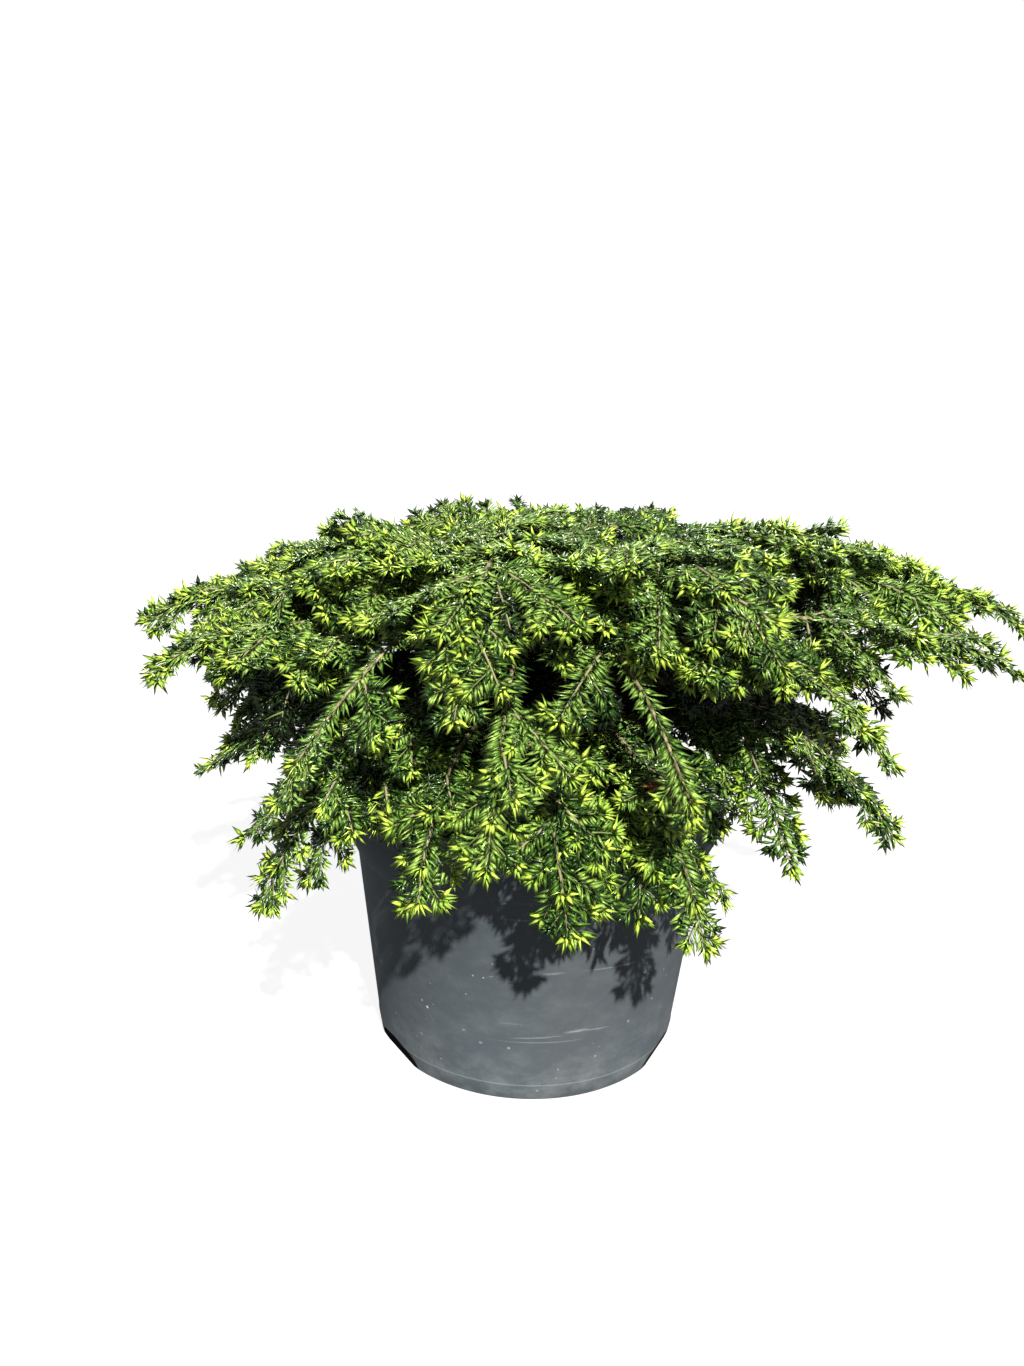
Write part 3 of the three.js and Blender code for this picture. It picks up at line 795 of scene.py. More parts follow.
def chipArrays(random, shape, centre, size):
    # an uneven flake with eight corners
    turn = Matrix.Rotation(random.uniform(0, 2 * math.pi), 3, "Z")
    tilt = Matrix.Identity(3)
    for most, axis in zip(shape["chipTilt"], "XY"):
        tilt = tilt @ Matrix.Rotation(random.uniform(-most, most), 3, axis)
    breadth = size * random.uniform(*shape["chipBreadth"])
    half = Vector((size, breadth, size * random.uniform(*shape["chipThickness"])))
    verts = []
    for z in (-1, 1):
        for x, y in ((-1, -1), (1, -1), (1, 1), (-1, 1)):
            corner = Vector((x * half.x, y * half.y, z * half.z)) * random.uniform(*shape["chipCorner"])
            verts.append((centre + turn @ tilt @ corner) / mm)
    faces = [(0, 3, 2, 1), (4, 5, 6, 7), (0, 1, 5, 4), (1, 2, 6, 5), (2, 3, 7, 6), (3, 0, 4, 7)]
    return verts, faces


def makeChips(shape, materials):
    random = np.random.default_rng(seeds["chips"])
    (flatRadius, flatHeight), (edgeRadius, edgeHeight) = shape["crown"], shape["edge"]
    verts, faces, kinds = [], [], []
    for _ in range(shape["chips"]):
        radius = shape["reach"] * math.sqrt(random.uniform(0.02, 1))
        turn = random.uniform(0, 2 * math.pi)
        fall = np.interp(radius, (flatRadius, edgeRadius), (0, flatHeight - edgeHeight))
        height = flatHeight - fall + random.uniform(*shape["chipLift"]) * mm
        size = random.uniform(*shape["chipSize"]) * random.uniform(0.4, 1)
        centre = Vector((radius * math.cos(turn), radius * math.sin(turn), height))
        chipVerts, chipFaces = chipArrays(random, shape, centre, min(size, edgeRadius - radius))
        faces += [tuple(i + len(verts) for i in face) for face in chipFaces]
        kinds += [int(random.random() < shape["gritShare"])] * len(chipFaces)
        verts += chipVerts
    return meshPiece("barkChips", verts, faces, materials, kinds)


def compostMaterial(finish):
    material = newMaterial("moistCompost", finish["brown"], roughness=0.92, specular=0.25)
    shader = material.node_tree.nodes["Principled BSDF"]
    lumps = noisePattern(material, (1, 1, 1), Scale=420.0, Detail=6.0, Roughness=0.75)
    stops = [(0.32, finish["dark"]), (0.55, finish["brown"]), (0.78, finish["chip"])]
    link(material, rampNode(material, lumps, stops), shader.inputs["Base Color"])
    addBump(material, lumps, strength=0.9, distance=1.2 * mm)
    return material


compost = makeCompost(compostShape)
compost.data.materials.append(compostMaterial(compostFinish))
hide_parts("soil")
chipMaterials = [
    newMaterial("barkChip", compostFinish["chip"], roughness=0.85, specular=0.3),
    newMaterial("paleGrit", compostFinish["grit"], roughness=0.8, specular=0.3),
]
chips = makeChips(compostShape, chipMaterials)
for piece in (compost, chips):
    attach(piece, "root")
print("compost:", len(compost.data.polygons), "faces,", compostShape["chips"], "chips")


# openings between the sprays, as ellipses in the photograph's own pixels: middle, half width, half height
# dark ones, with only the shaded inside of the plant in them
darkGaps = {
    "frontMiddle": (538, 663, 38, 35),
    "frontRight": (630, 671, 31, 25),
    "frontLeft": (470, 732, 19, 23),
    "frontLow": (615, 780, 20, 20),
    "rightOfMiddle": (664, 722, 15, 31),
    "leftUpper": (397, 649, 37, 21),
    "leftMiddle": (336, 697, 25, 17),
    "leftLower": (285, 736, 12, 14),
    "topMiddle": (677, 590, 17, 11),
    "topRight": (797, 584, 17, 9),
    "right": (790, 621, 15, 10),
    "rightNear": (758, 706, 27, 32),
    "rightFar": (802, 706, 26, 28),
}

# clear ones, with nothing of the plant in them
skyGaps = {
    "underRight": (892, 716, 16, 12),
    "besideDroopingTip": (824, 828, 13, 17),
    "rightOfPot": (742, 858, 16, 40),
    "underRightPlume": (708, 958, 32, 17),
    "collar": (697, 837, 28, 19),
    "leftTipsUpper": (232, 712, 24, 5),
    "leftTipsLower": (236, 760, 24, 5),
}

gapDepth = 436  # millimetres from the camera; what is farther off stays in a dark gap


def photoPlace(points):
    # where points in millimetres stand in the photograph, and how far off they are
    x, y, z = (points[..., i] - cameraSetup["place"][i] / mm for i in range(3))
    down, roll = math.radians(cameraSetup["lookDown"]), math.radians(cameraSetup["roll"])
    depth = y * math.cos(down) - z * math.sin(down)
    rise = y * math.sin(down) + z * math.cos(down)
    width, height = cameraSetup["pictureSize"]
    scale = height * cameraSetup["lens"] / cameraSetup["sensor"] / depth
    across = width / 2 + scale * (x * math.cos(roll) + rise * math.sin(roll))
    below = height / 2 + scale * (x * math.sin(roll) - rise * math.cos(roll))
    return across, below, depth


def inGap(points, gaps):
    across, below, depth = photoPlace(np.asarray(points))
    inside = np.zeros(across.shape, bool)
    for x, y, halfWidth, halfHeight in gaps.values():
        inside |= ((across - x) / halfWidth) ** 2 + ((below - y) / halfHeight) ** 2 < 1
    return inside & (depth < gapDepth) if gaps is darkGaps else inside


def inAnyGap(points):
    return inGap(points, darkGaps) | inGap(points, skyGaps)


# trunk, boughs and main stems with bark relief

barkShape = {
    "trunkSides": 20,
    "trunkRings": 44,
    "trunkRelief": 0.9,
    "trunkRidges": 0.6,  # share of the relief that runs along; the rest differs from ring to ring
    "limbRidges": 0.45,
    "buttresses": 5,
    "buttressRelief": 0.9,
    "buttressRings": 7,
    "boughRadius": (2.3, 1.4),
    "boughSides": 10,
    "boughRelief": 0.4,
    "stemRadius": (1.1, 0.36),
    "stemSides": 7,
    "stemRelief": 0.18,
    "stemEnd": 0.93,  # share of its line that a main stem runs to, where no clear gap stops it
    "ringPitch": 1.6,
}

barkFinish = {
    "pale": (0.285, 0.250, 0.140),
    "brown": (0.125, 0.102, 0.054),
    "dark": (0.045, 0.036, 0.022),
}


def barkMaterial(name, finish, bright=1.0):
    material = newMaterial(name, finish["brown"], roughness=0.86, specular=0.3)
    shader = material.node_tree.nodes["Principled BSDF"]
    plates = noisePattern(
        material, (1, 1, 0.55),
        Scale=330.0, Detail=5.0, Roughness=0.65, Distortion=0.6,
    )
    pale = tuple(min(1, c * bright) for c in finish["pale"])
    stops = [(0.3, finish["dark"]), (0.47, finish["brown"]), (0.62, pale)]
    link(material, rampNode(material, plates, stops), shader.inputs["Base Color"])
    addBump(material, plates, strength=0.7, distance=0.6 * mm)
    return material


def joinArrays(parts):
    verts, faces = [], []
    for partVerts, partFaces in parts:
        faces += [tuple(i + len(verts) for i in face) for face in partFaces]
        verts += partVerts
    return verts, faces


def limbPoints(line, start, end, pitch):
    length = (line(end) - line(start)).length
    steps = max(3, round(length / pitch))
    return [line(mix(start, end, i / steps)) for i in range(steps + 1)]


def roughen(random, verts, points, sides, relief, ridgeShare, pressedIn=lambda i, k: 0):
    # moves a tube's corners in and out: ridges run along it, and knots differ from ring to ring
    ridges = random.uniform(-1, 1, sides)
    for i, point in enumerate(points):
        knots = random.uniform(-1, 1, sides)
        inner = 0 if i in (0, len(points) - 1) else 1
        for k in range(sides):
            out = verts[i * sides + k] - point
            push = relief * inner * (ridgeShare * ridges[k] + (1 - ridgeShare) * knots[k]) - pressedIn(i, k)
            verts[i * sides + k] = point + out * (1 + push / out.length)


def roughTube(random, line, start, end, kind):
    # kind is bough or stem
    radii, sides, relief = (barkShape[kind + part] for part in ("Radius", "Sides", "Relief"))
    points = limbPoints(line, start, end, barkShape["ringPitch"])
    last = len(points) - 1
    thick = [mix(*radii, i / last) for i in range(last + 1)]
    verts, faces = tubeArrays(points, thick, sides)
    roughen(random, verts, points, sides, relief, barkShape["limbRidges"])
    return verts, faces


def makeTrunk(shape):
    random = np.random.default_rng(seeds["trunk"])
    rings, sides = shape["trunkRings"], shape["trunkSides"]
    points = [trunkLine(i / rings) for i in range(rings + 1)]
    flare = trunkShape["flareRadius"] - trunkShape["footRadius"]
    radii = []
    for point in points:
        above = point.z - points[0].z
        share = above / (points[-1].z - points[0].z)
        radius = mix(trunkShape["footRadius"], trunkShape["topRadius"], share)
        radii.append(radius + flare * math.exp(-above / trunkShape["flareHeight"]))
    verts, faces = tubeArrays(points, radii, sides)

    def betweenButtresses(i, k):
        lobe = shape["buttressRelief"] * max(0, 1 - i / shape["buttressRings"])
        return lobe * (1 + math.cos(shape["buttresses"] * 2 * math.pi * k / sides))

    roughen(random, verts, points, sides, shape["trunkRelief"], shape["trunkRidges"], betweenButtresses)
    return meshPiece("trunkBark", verts, faces, [barkMaterial("oldBark", barkFinish)], smooth=True)


def stemEnd(spray):
    # a main stem stops short of the clear gaps
    end = 1 if spray["tier"] == "leader" else barkShape["stemEnd"]
    while inGap(np.array([spray["line"](end - back) for back in (0, 0.03, 0.06, 0.09)]), skyGaps).any():
        end -= 0.02
    return end


sprays = planSprays()
trunk = makeTrunk(barkShape)
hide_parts("trunk")
boughParts, stemParts = [], []
for spray in sprays:
    random = np.random.default_rng(seeds["limbs"] + spray["index"])
    split = limbShare[spray["tier"]]
    if split > 0:
        boughParts.append(roughTube(random, spray["line"], 0.01, split, "bough"))
    spray["end"] = stemEnd(spray)
    stemParts.append(roughTube(random, spray["line"], split, spray["end"], "stem"))
boughBark = barkMaterial("boughBark", barkFinish)
boughs = meshPiece("boughBark", *joinArrays(boughParts), [boughBark], smooth=True)
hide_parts(*[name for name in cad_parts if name.startswith("bough_")])
youngBark = barkMaterial("youngBark", barkFinish, 1.1)
stems = meshPiece("mainStems", *joinArrays(stemParts), [youngBark], smooth=True)
for piece in (trunk, boughs, stems):
    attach(piece, "root")
    print(piece.name, len(piece.data.polygons), "faces")


# twigs and needles: each place of the source's rule becomes a frond of finer twigs set with needles

frondShape = {
    "twigPitch": 4.4,  # along the frond, both hands together
    "firstTwig": 0.08,  # share of the frond's axis
    "lastTwig": 0.93,
    "twigAngle": 50,
    "twigAngleChance": 9,
    "leastHalfWidth": 6.5,
    "widthShare": 0.13,
    "twigSag": 0.1,
    "fullness": ((0, 0.3, 0.6, 1), (0.62, 1, 0.85, 0.34)),  # places along the axis, share of the half width
    "reachChance": (0.72, 1.12),
    "lift": (-3, 7),  # degrees that a twig leans out of its frond's plane, and may lean more or less
    "roll": 15,  # degrees that a frond's plane may turn about its axis
    "axisRadius": (0.65, 0.3),
    "twigRadius": (0.42, 0.26),
    "tipRoom": 3.5,  # left for the needles past the axis
    "leastAxis": 8.0,
    "gapRoom": 3,  # left before a gap
    "leastInGap": 10,  # a frond that a gap leaves shorter than this doesn't grow
}

# fronds besides the rule's own: the stretch of the bough that they stand on, as shares of its line,
# and how they stand, in degrees and millimetres
betweenShape = {
    "stretch": {"crown": (0.15, 0.55), "upper": (0.2, 0.62), "lower": (0.25, 0.66)},
    "length": 0.6,  # of the spray's longest
    "droop": (4, 26),
    "turn": (48, 66),
}

coverShape = {
    "stretch": (0.3, 0.84),
    "pitch": 22,
    "inPitch": (0.15, 0.85),  # share of its pitch at which a frond may stand
    "length": (25, 40),
    "turn": (12, 38),
    "rise": (3, 12),
    "lift": 0.8,  # of its base above the stem's middle
}

shadeShape = {
    "stretch": (0.14, 0.62),
    "pitch": 8.5,
    "inPitch": (0.2, 0.8),
    "length": (30, 50),
    "turn": (-80, 80),
    "fall": (14, 60),
}

needleShape = {
    "length": 7.6,
    "width": 1.5,
    "thickness": 0.3,
    "pitch": 1.04,  # along a twig, on each side
    "angle": (62, 40),  # from the twig, at its foot and at its tip
    "angleChance": 9,
    "liftChance": 13,
    "rollChance": 26,
    "placeChance": 0.4,  # of its pitch
    "fullness": ((0, 0.15, 0.75, 1), (0.7, 1, 1, 0.72)),  # places along a twig, share of the length there
    "lengthChance": (0.82, 1.08),
    "widthChance": (0.85, 1.1),
    "tipStep": 0.45,  # how far the twig's tip goes towards the next lighter tint
    "tintChance": 0.16,  # from needle to needle
    # the short ones on top of a twig
    "topPitch": 3.6,
    "topLength": 3.8,
    "topLengthChance": (0.8, 1.15),
    "topWidth": 1.3,
    "topSpread": 0.45,
    "topRise": 0.16,
    "topHeight": 0.4,
    "topTint": 0.4,  # place along a twig whose tints they have
}

tuftShape = {
    "needles": 11,
    "length": 6.2,
    "width": 1.75,
    "spread": (8, 76),
    "rise": 0.35,  # how far its middle turns up from the twig
    "share": 0.5,  # of the twigs' tips that have one
    "turnChance": 0.3,  # of the angle from one needle to the next
    "flatness": 0.75,
    "stretch": 1.2,  # of the twig that its needles stand on
    "lengthChance": (0.75, 1.15),
    "widthChance": (0.85, 1.15),
}

# the pot's and the compost's outline in millimetres, which foliage keeps clear of
potRoom = {
    "heights": (0, 87.5, 101.5, 119),
    "radii": (66.6, 76.8, 83.2, 85),
    "gap": 0.8,  # beside the wall and above the rim
    "mouth": 81,
    "soilGap": 1,
}

needleFinish = {
    "deep": (0.016, 0.055, 0.003),
    "mid": (0.087, 0.190, 0.018),
    "light": (0.180, 0.316, 0.053),
    "fresh": (0.280, 0.430, 0.075),
    "paleUnder": (0.095, 0.170, 0.060),
    "freshUnder": (0.220, 0.335, 0.070),
    "tuft": (0.270, 0.430, 0.044),
    "glow": (0.500, 0.660, 0.080),
    "dead": (0.480, 0.170, 0.065),
    # painted shade: a near-black tint for the needles inside the plant, where shade falls
    "inside": (0.007, 0.022, 0.003),
}

twigFinish = {
    "tan": (0.22, 0.20, 0.115),
    "green": (0.13, 0.165, 0.055),
}

tintNames = ("deep", "mid", "light", "fresh", "paleUnder", "freshUnder", "dead", "inside")
underTints = (4, 4, 5, 5, 4, 5, 6, 7)  # the underside's tint, for each of the names above


def unit(rows):
    return rows / np.linalg.norm(rows, axis=-1, keepdims=True)


def turnedRows(first, second, angles):
    # turned, for rows of directions with an angle each
    return first * np.cos(angles)[:, None] + second * np.sin(angles)[:, None]


def clearOfPot(points):
    # true for points that aren't in the pot's wall, in its compost or under its rim
    radius = np.hypot(points[..., 0], points[..., 1])
    height = points[..., 2]
    wall = np.interp(height, potRoom["heights"], potRoom["radii"]) + potRoom["gap"]
    inMouth = (height > soilHeight + potRoom["soilGap"]) & (radius < potRoom["mouth"])
    return (height > potRoom["heights"][-1] + potRoom["gap"]) | (radius > wall) | inMouth


# a twig is its base, direction, face, length and sag; a frond has no sag of its own, but the rule's curl

def twigSag(twig):
    return twig[4] if len(twig) > 4 else growth["curl"]


def twigPoints(twig, shares):
    base, direction, _, length = twig[:4]
    shares = np.asarray(shares)[:, None]
    return base + direction * length * shares - np.array([0, 0, twigSag(twig) * length]) * shares**2


def twigTangents(twig, shares):
    shares = np.asarray(shares)[:, None]
    return unit(twig[1] - np.array([0, 0, 2 * twigSag(twig)]) * shares)


def twigFrame(twig, shares):
    # along a twig, across it in its plane, and square to both
    tangent = twigTangents(twig, shares)
    across = unit(np.cross(twig[2], tangent))
    return tangent, across, np.cross(tangent, across)


def needleRows(random, bag, twig, tints, sparse=1.0, size=1.0):
    # two ranks of needles along a twig, and short ones lying upside down along its top
    shape = needleShape
    length = twig[3]
    count = max(2, round(length / shape["pitch"] / sparse))
    along = np.repeat(np.linspace(0, 1, count), 2)
    hand = np.tile((-1.0, 1.0), count)
    most = shape["placeChance"]
    along = np.clip(along + random.uniform(-most, most, 2 * count) * shape["pitch"] / length, 0, 1)
    tangent, across, face = twigFrame(twig, along)
    angle = np.interp(along, (0, 1), shape["angle"]) + random.normal(0, shape["angleChance"], 2 * count)
    lift = np.radians(random.normal(0, shape["liftChance"], 2 * count))
    side = turnedRows(across * hand[:, None], face, lift)
    direction = turnedRows(tangent, side, np.radians(angle))
    fullness = np.interp(along, *shape["fullness"])
    needleLength = size * shape["length"] * fullness * random.uniform(*shape["lengthChance"], 2 * count)
    width = shape["width"] * random.uniform(*shape["widthChance"], 2 * count)
    tint = pickTints(random, tints, along)
    addNeedles(random, bag, twigPoints(twig, along), direction, face, needleLength, width, tint)
    count = round(length / shape["topPitch"] / sparse)
    if count > 1:
        along = random.uniform(0, 1, count)
        tangent, across, face = twigFrame(twig, along)
        aside = random.uniform(-shape["topSpread"], shape["topSpread"], (count, 1))
        direction = unit(tangent + across * aside + face * shape["topRise"])
        base = twigPoints(twig, along) + face * shape["topHeight"]
        needleLength = size * shape["topLength"] * random.uniform(*shape["topLengthChance"], count)
        width = np.full(count, shape["topWidth"])
        tint = pickTints(random, tints, np.full(count, shape["topTint"]))
        addNeedles(random, bag, base, direction, -face, needleLength, width, tint)


def pickTints(random, tints, along):
    # tints is the chance of deep, mid, light and fresh at a twig's foot; the tip is a step lighter
    foot = np.array(tints)
    tip = np.array((0, *tints[:-1])) + np.array((0, 0, 0, tints[-1]))
    odds = foot + (tip - foot) * needleShape["tipStep"] * along[:, None] ** 2
    # one draw for the twig and a small one for each needle, so that a twig is much the same all over
    draw = random.random() + random.normal(0, needleShape["tintChance"], len(along))
    draw = np.clip(draw, 0, 1)[:, None]
    return (draw > np.cumsum(odds / odds.sum(1, keepdims=True), axis=1)).sum(1).clip(0, 3)


def addNeedles(random, bag, base, direction, face, length, width, tint):
    roll = np.radians(random.normal(0, needleShape["rollChance"], len(base)))
    face = unit(face - direction * (face * direction).sum(1)[:, None])
    face = turnedRows(face, np.cross(direction, face), roll)
    kept = clearOfPot(base) & clearOfPot(base + direction * length[:, None])
    rows = np.hstack([base, direction, face, length[:, None], width[:, None], tint[:, None]])
    bag.append(rows[kept])


def addTuft(random, bag, twig, glow, size=1.0):
    # young needles that spread like a star round a tip
    shape = tuftShape
    count = shape["needles"] + random.integers(-1, 2)
    tangent = unit(twigTangents(twig, [1.0]) + np.array([0, 0, shape["rise"]]))
    across = unit(np.cross(twig[2], tangent))
    face = np.cross(tangent, across)
    most = shape["turnChance"]
    turn = 2 * math.pi * (np.arange(count) + random.uniform(-most, most, count)) / count
    angle = np.radians(random.uniform(*shape["spread"], count))
    side = across * np.cos(turn)[:, None] + face * (shape["flatness"] * np.sin(turn))[:, None]
    direction = unit(turnedRows(tangent, side, angle))
    base = twigPoints(twig, 1 - random.uniform(0, shape["stretch"], count) / twig[3])
    length = size * shape["length"] * random.uniform(*shape["lengthChance"], count)
    width = shape["width"] * random.uniform(*shape["widthChance"], count)
    tint = (random.random(count) < glow).astype(int)
    outward = unit(face - 0.5 * side)
    addNeedles(random, bag, base, direction, outward, length, width, tint)


def sideTwigs(random, frond, slim, gapped):
    # alternate twigs in the frond's plane, longest a third of the way out
    shape = frondShape
    length = frond[3]
    count = max(3, round(length * (1 - shape["firstTwig"]) / shape["twigPitch"]))
    halfWidth = (shape["leastHalfWidth"] + shape["widthShare"] * length) * slim
    start = random.integers(2)
    twigs = []
    for j in range(count):
        share = mix(shape["firstTwig"], shape["lastTwig"], (j + 0.5) / count)
        hand = 1 if (j + start) % 2 else -1
        tangent = twigTangents(frond, [share])[0]
        across = np.cross(frond[2], tangent)
        across /= np.linalg.norm(across)
        face = np.cross(tangent, across)
        lift = math.radians(random.normal(*shape["lift"]))
        side = turned(across * hand, face, lift)
        turn = math.radians(shape["twigAngle"] + random.normal(0, shape["twigAngleChance"]))
        direction = turned(tangent, side, turn)
        fullness = float(np.interp(share, *shape["fullness"]))
        reach = halfWidth * fullness * random.uniform(*shape["reachChance"])
        twigLength = reach / math.sin(math.radians(shape["twigAngle"]))
        twigFace = face - direction * float(face @ direction)
        twigFace /= np.linalg.norm(twigFace)
        twig = (twigPoints(frond, [share])[0], direction, twigFace, twigLength, shape["twigSag"])
        inGaps = gapped and inAnyGap(twigPoints(twig, [0.6]))[0]
        if clearOfPot(twigPoints(twig, [0.5, 1.0])).all() and not inGaps:
            twigs.append(twig)
    return twigs


def growFrond(random, spray, frond, tints, tuftShare, sparse=1.0, gapped=True, slim=1.0):
    # the axis runs to the frond's tip, less the length of the needles there, or to the edge of a gap
    shape = frondShape
    base, direction, face, length = frond
    roll = math.radians(random.normal(0, shape["roll"]))
    face = turned(face, np.cross(direction, face), roll)
    axis = (base, direction, face, max(shape["leastAxis"], length - shape["tipRoom"]))
    shares = np.linspace(0, 1, 15)
    blocked = inAnyGap(twigPoints(axis, shares))
    if gapped and blocked.any():
        room = length * shares[blocked.argmax()] - shape["gapRoom"]
        if room < shape["leastInGap"]:
            return
        axis = (base, direction, face, room)
    spray["axes"].append(axis)
    needleRows(random, spray["needles"], axis, tints, sparse)
    for twig in sideTwigs(random, axis, slim, gapped):
        spray["twigs"].append(twig)
        needleRows(random, spray["needles"], twig, tints, sparse)
        if random.random() < tuftShare:
            addTuft(random, spray["tufts"], twig, glow=0.4)
        else:
            addTuft(random, spray["needles"], twig, glow=0, size=0.8)
    if tuftShare > 0:
        addTuft(random, spray["tufts"], axis, glow=0.6, size=1.1)
    else:
        addTuft(random, spray["needles"], axis, glow=0, size=0.9)


def asArrays(shape):
    origin, direction, face, length = shape
    return np.array(origin), np.array(direction.normalized()), np.array(face.normalized()), float(length)


def chooseShape(shapes):
    # the first of the rule's tries that keeps clear of the pot
    for shape in map(asArrays, shapes):
        if clearOfPot(twigPoints(shape, [0.3, 0.6, 0.85, 1.0])).all():
            return shape
    return None


def drawAngle(random, limits):
    # an angle between two limits in degrees
    return math.radians(random.uniform(*limits))


def standsAlong(random, spray, stretch, pitch, places=None):
    # the fronds' number, place and direction along a stretch of a bough; places, if any, are the limits
    # between which each one's place in its own pitch is drawn
    first, last = stretch
    count = round(spray["reach"] * (last - first) / pitch)
    for i in range(count):
        share = random.uniform(*places) if places else 0.5
        t = mix(first, last, (i + share) / count)
        yield i, t, alongLine(spray["line"], t)


def betweenPlaces(random, spray):
    # smaller fronds between the rule's pairs, hanging a little lower
    tier, shape = spray["tier"], betweenShape
    places = []
    for i, t, along in standsAlong(random, spray, shape["stretch"][tier], growth["spacing"][tier] / 2):
        level, top = stemFrame(along)
        outward = level * (-1 if i % 2 else 1)
        droop = math.radians(growth["droop"][tier] + random.uniform(*shape["droop"]))
        direction = turned(along, turned(outward, top, -droop), drawAngle(random, shape["turn"]))
        length = spray["side"] * shape["length"] * random.uniform(0.75, 1.15)
        places.append([(spray["line"](t), direction, turned(top, outward, droop), length)])
    return places


def shadePlaces(random, spray):
    # fronds that hang from a bough's inner part and close the inside of the plant
    shape = shadeShape
    places = []
    for _, t, along in standsAlong(random, spray, shape["stretch"], shape["pitch"], shape["inPitch"]):
        ahead = Vector((along.x, along.y, 0)).normalized()
        flat = turned(ahead, stemFrame(along)[0], drawAngle(random, shape["turn"]))
        fall = drawAngle(random, shape["fall"])
        length = random.uniform(*shape["length"])
        places.append([(spray["line"](t), turned(flat, up, -fall), turned(up, flat, fall), length)])
    return places


def coverPlaces(random, spray):
    # short fronds on top of a stem, which hide most of it
    shape = coverShape
    places = []
    for i, t, along in standsAlong(random, spray, shape["stretch"], shape["pitch"], shape["inPitch"]):
        level, top = stemFrame(along)
        flat = turned(along, level, drawAngle(random, shape["turn"]) * (1 if i % 2 else -1))
        rise = drawAngle(random, shape["rise"])
        length = random.uniform(*shape["length"]) * (1.15 - 0.5 * t)
        origin = spray["line"](t) + top * shape["lift"]
        places.append([(origin, turned(flat, top, rise), turned(top, flat, -rise), length)])
    return places


def insidePlaces(random, shape):
    # fronds all round the trunk, in the crown's shade
    places = []
    for i in range(shape["fronds"]):
        height = mix(*shape["heights"], (i + 0.5) / shape["fronds"])
        turn = math.radians(leader["goldenAngle"] * i)
        rise = drawAngle(random, shape["rise"])
        outward = Vector((math.cos(turn), math.sin(turn), 0))
        direction, face = turned(outward, up, rise), turned(up, outward, -rise)
        face = turned(face, direction.cross(face), drawAngle(random, shape["roll"]))
        places.append([(trunkPoint(height), direction, face, random.uniform(*shape["length"]))])
    return places


def tintAll(parts, name, base=(0, 0, 0), least=0):
    # gives one tint to all needles that stand farther from base than least
    for rows in parts:
        outer = np.linalg.norm(rows[:, 0:3] - base, axis=1) > least
        rows[outer, 11] = tintNames.index(name)


def growOddFronds(random, oddFronds):
    for name, share, tip, tier in oddFronds:
        spray = next(s for s in sprays if s["name"] == name)
        base = spray["line"](share)
        direction = Vector(tip) - base
        face = stemFrame(direction.normalized())[1]
        frond = asArrays((base, direction, face, direction.length))
        slim = oddShape["slim"] if tier == "dead" or direction.length > oddShape["longFrom"] else 1
        tuftShare = 0 if tier in ("inner", "dead") else tuftShape["share"]
        start = len(spray["needles"])
        growFrond(random, spray, frond, tierTints[tier], tuftShare, gapped=False, slim=slim)
        # painted shade: an inner frond's needles all get the near-black inside tint
        if tier == "inner":
            tintAll(spray["needles"][start:], "inside")
        if tier == "dead":
            tintAll(spray["needles"][start:], "dead", frond[0], oddShape["deadFrom"] * frond[3])


def stemStretch(line, first, last):
    # a piece of a main stem, as a straight twig
    direction = line(last) - line(first)
    face = stemFrame(direction.normalized())[1]
    return (*asArrays((line(first), direction, face, direction.length)), 0.0)


def stemNeedles(random, spray, tints):
    # needles straight on the main stem, where it runs through the spray, and a tuft at its end
    first = firstShare[spray["tier"]]
    steps = 10
    for i in range(steps):
        stretch = stemStretch(spray["line"], *(mix(first, endShare, k / steps) for k in (i, i + 1)))
        if not inGap(twigPoints(stretch, [0.5]), skyGaps)[0]:
            needleRows(random, spray["needles"], stretch, tints, sparse=0.75, size=1.05)
    tip = stemStretch(spray["line"], spray["end"] - 0.1, spray["end"])
    needleRows(random, spray["needles"], tip, tints, sparse=0.75, size=1.05)
    addTuft(random, spray["tufts"], tip, glow=0.6, size=1.1)


# the chances of deep, mid, light and fresh needles; the crown's light mix is partly its own paler colour
# and partly painted light on the top, and the inner fronds' dark mix is painted shade
tierTints = {
    "leader": (0.1, 0.42, 0.4, 0.08),
    "crown": (0.07, 0.38, 0.49, 0.06),
    "upper": (0.11, 0.42, 0.43, 0.04),
    "lower": (0.34, 0.46, 0.18, 0.02),
    "inner": (0.8, 0.2, 0, 0),
    "dead": (0.34, 0.46, 0.18, 0.02),  # its green foot
}

# fronds on the trunk itself, which close the inside of the plant
insideShape = {
    "fronds": 84,
    "heights": (130, 202),
    "rise": (-18, 10),
    "length": (36, 66),
    "roll": (-75, 75),  # degrees that a frond's plane may be turned from the level
}

oddShape = {
    "longFrom": 60,  # longer ones are slim
    "slim": 0.6,  # share of the usual width
    "deadFrom": 0.62,  # share of the dead one's length
}

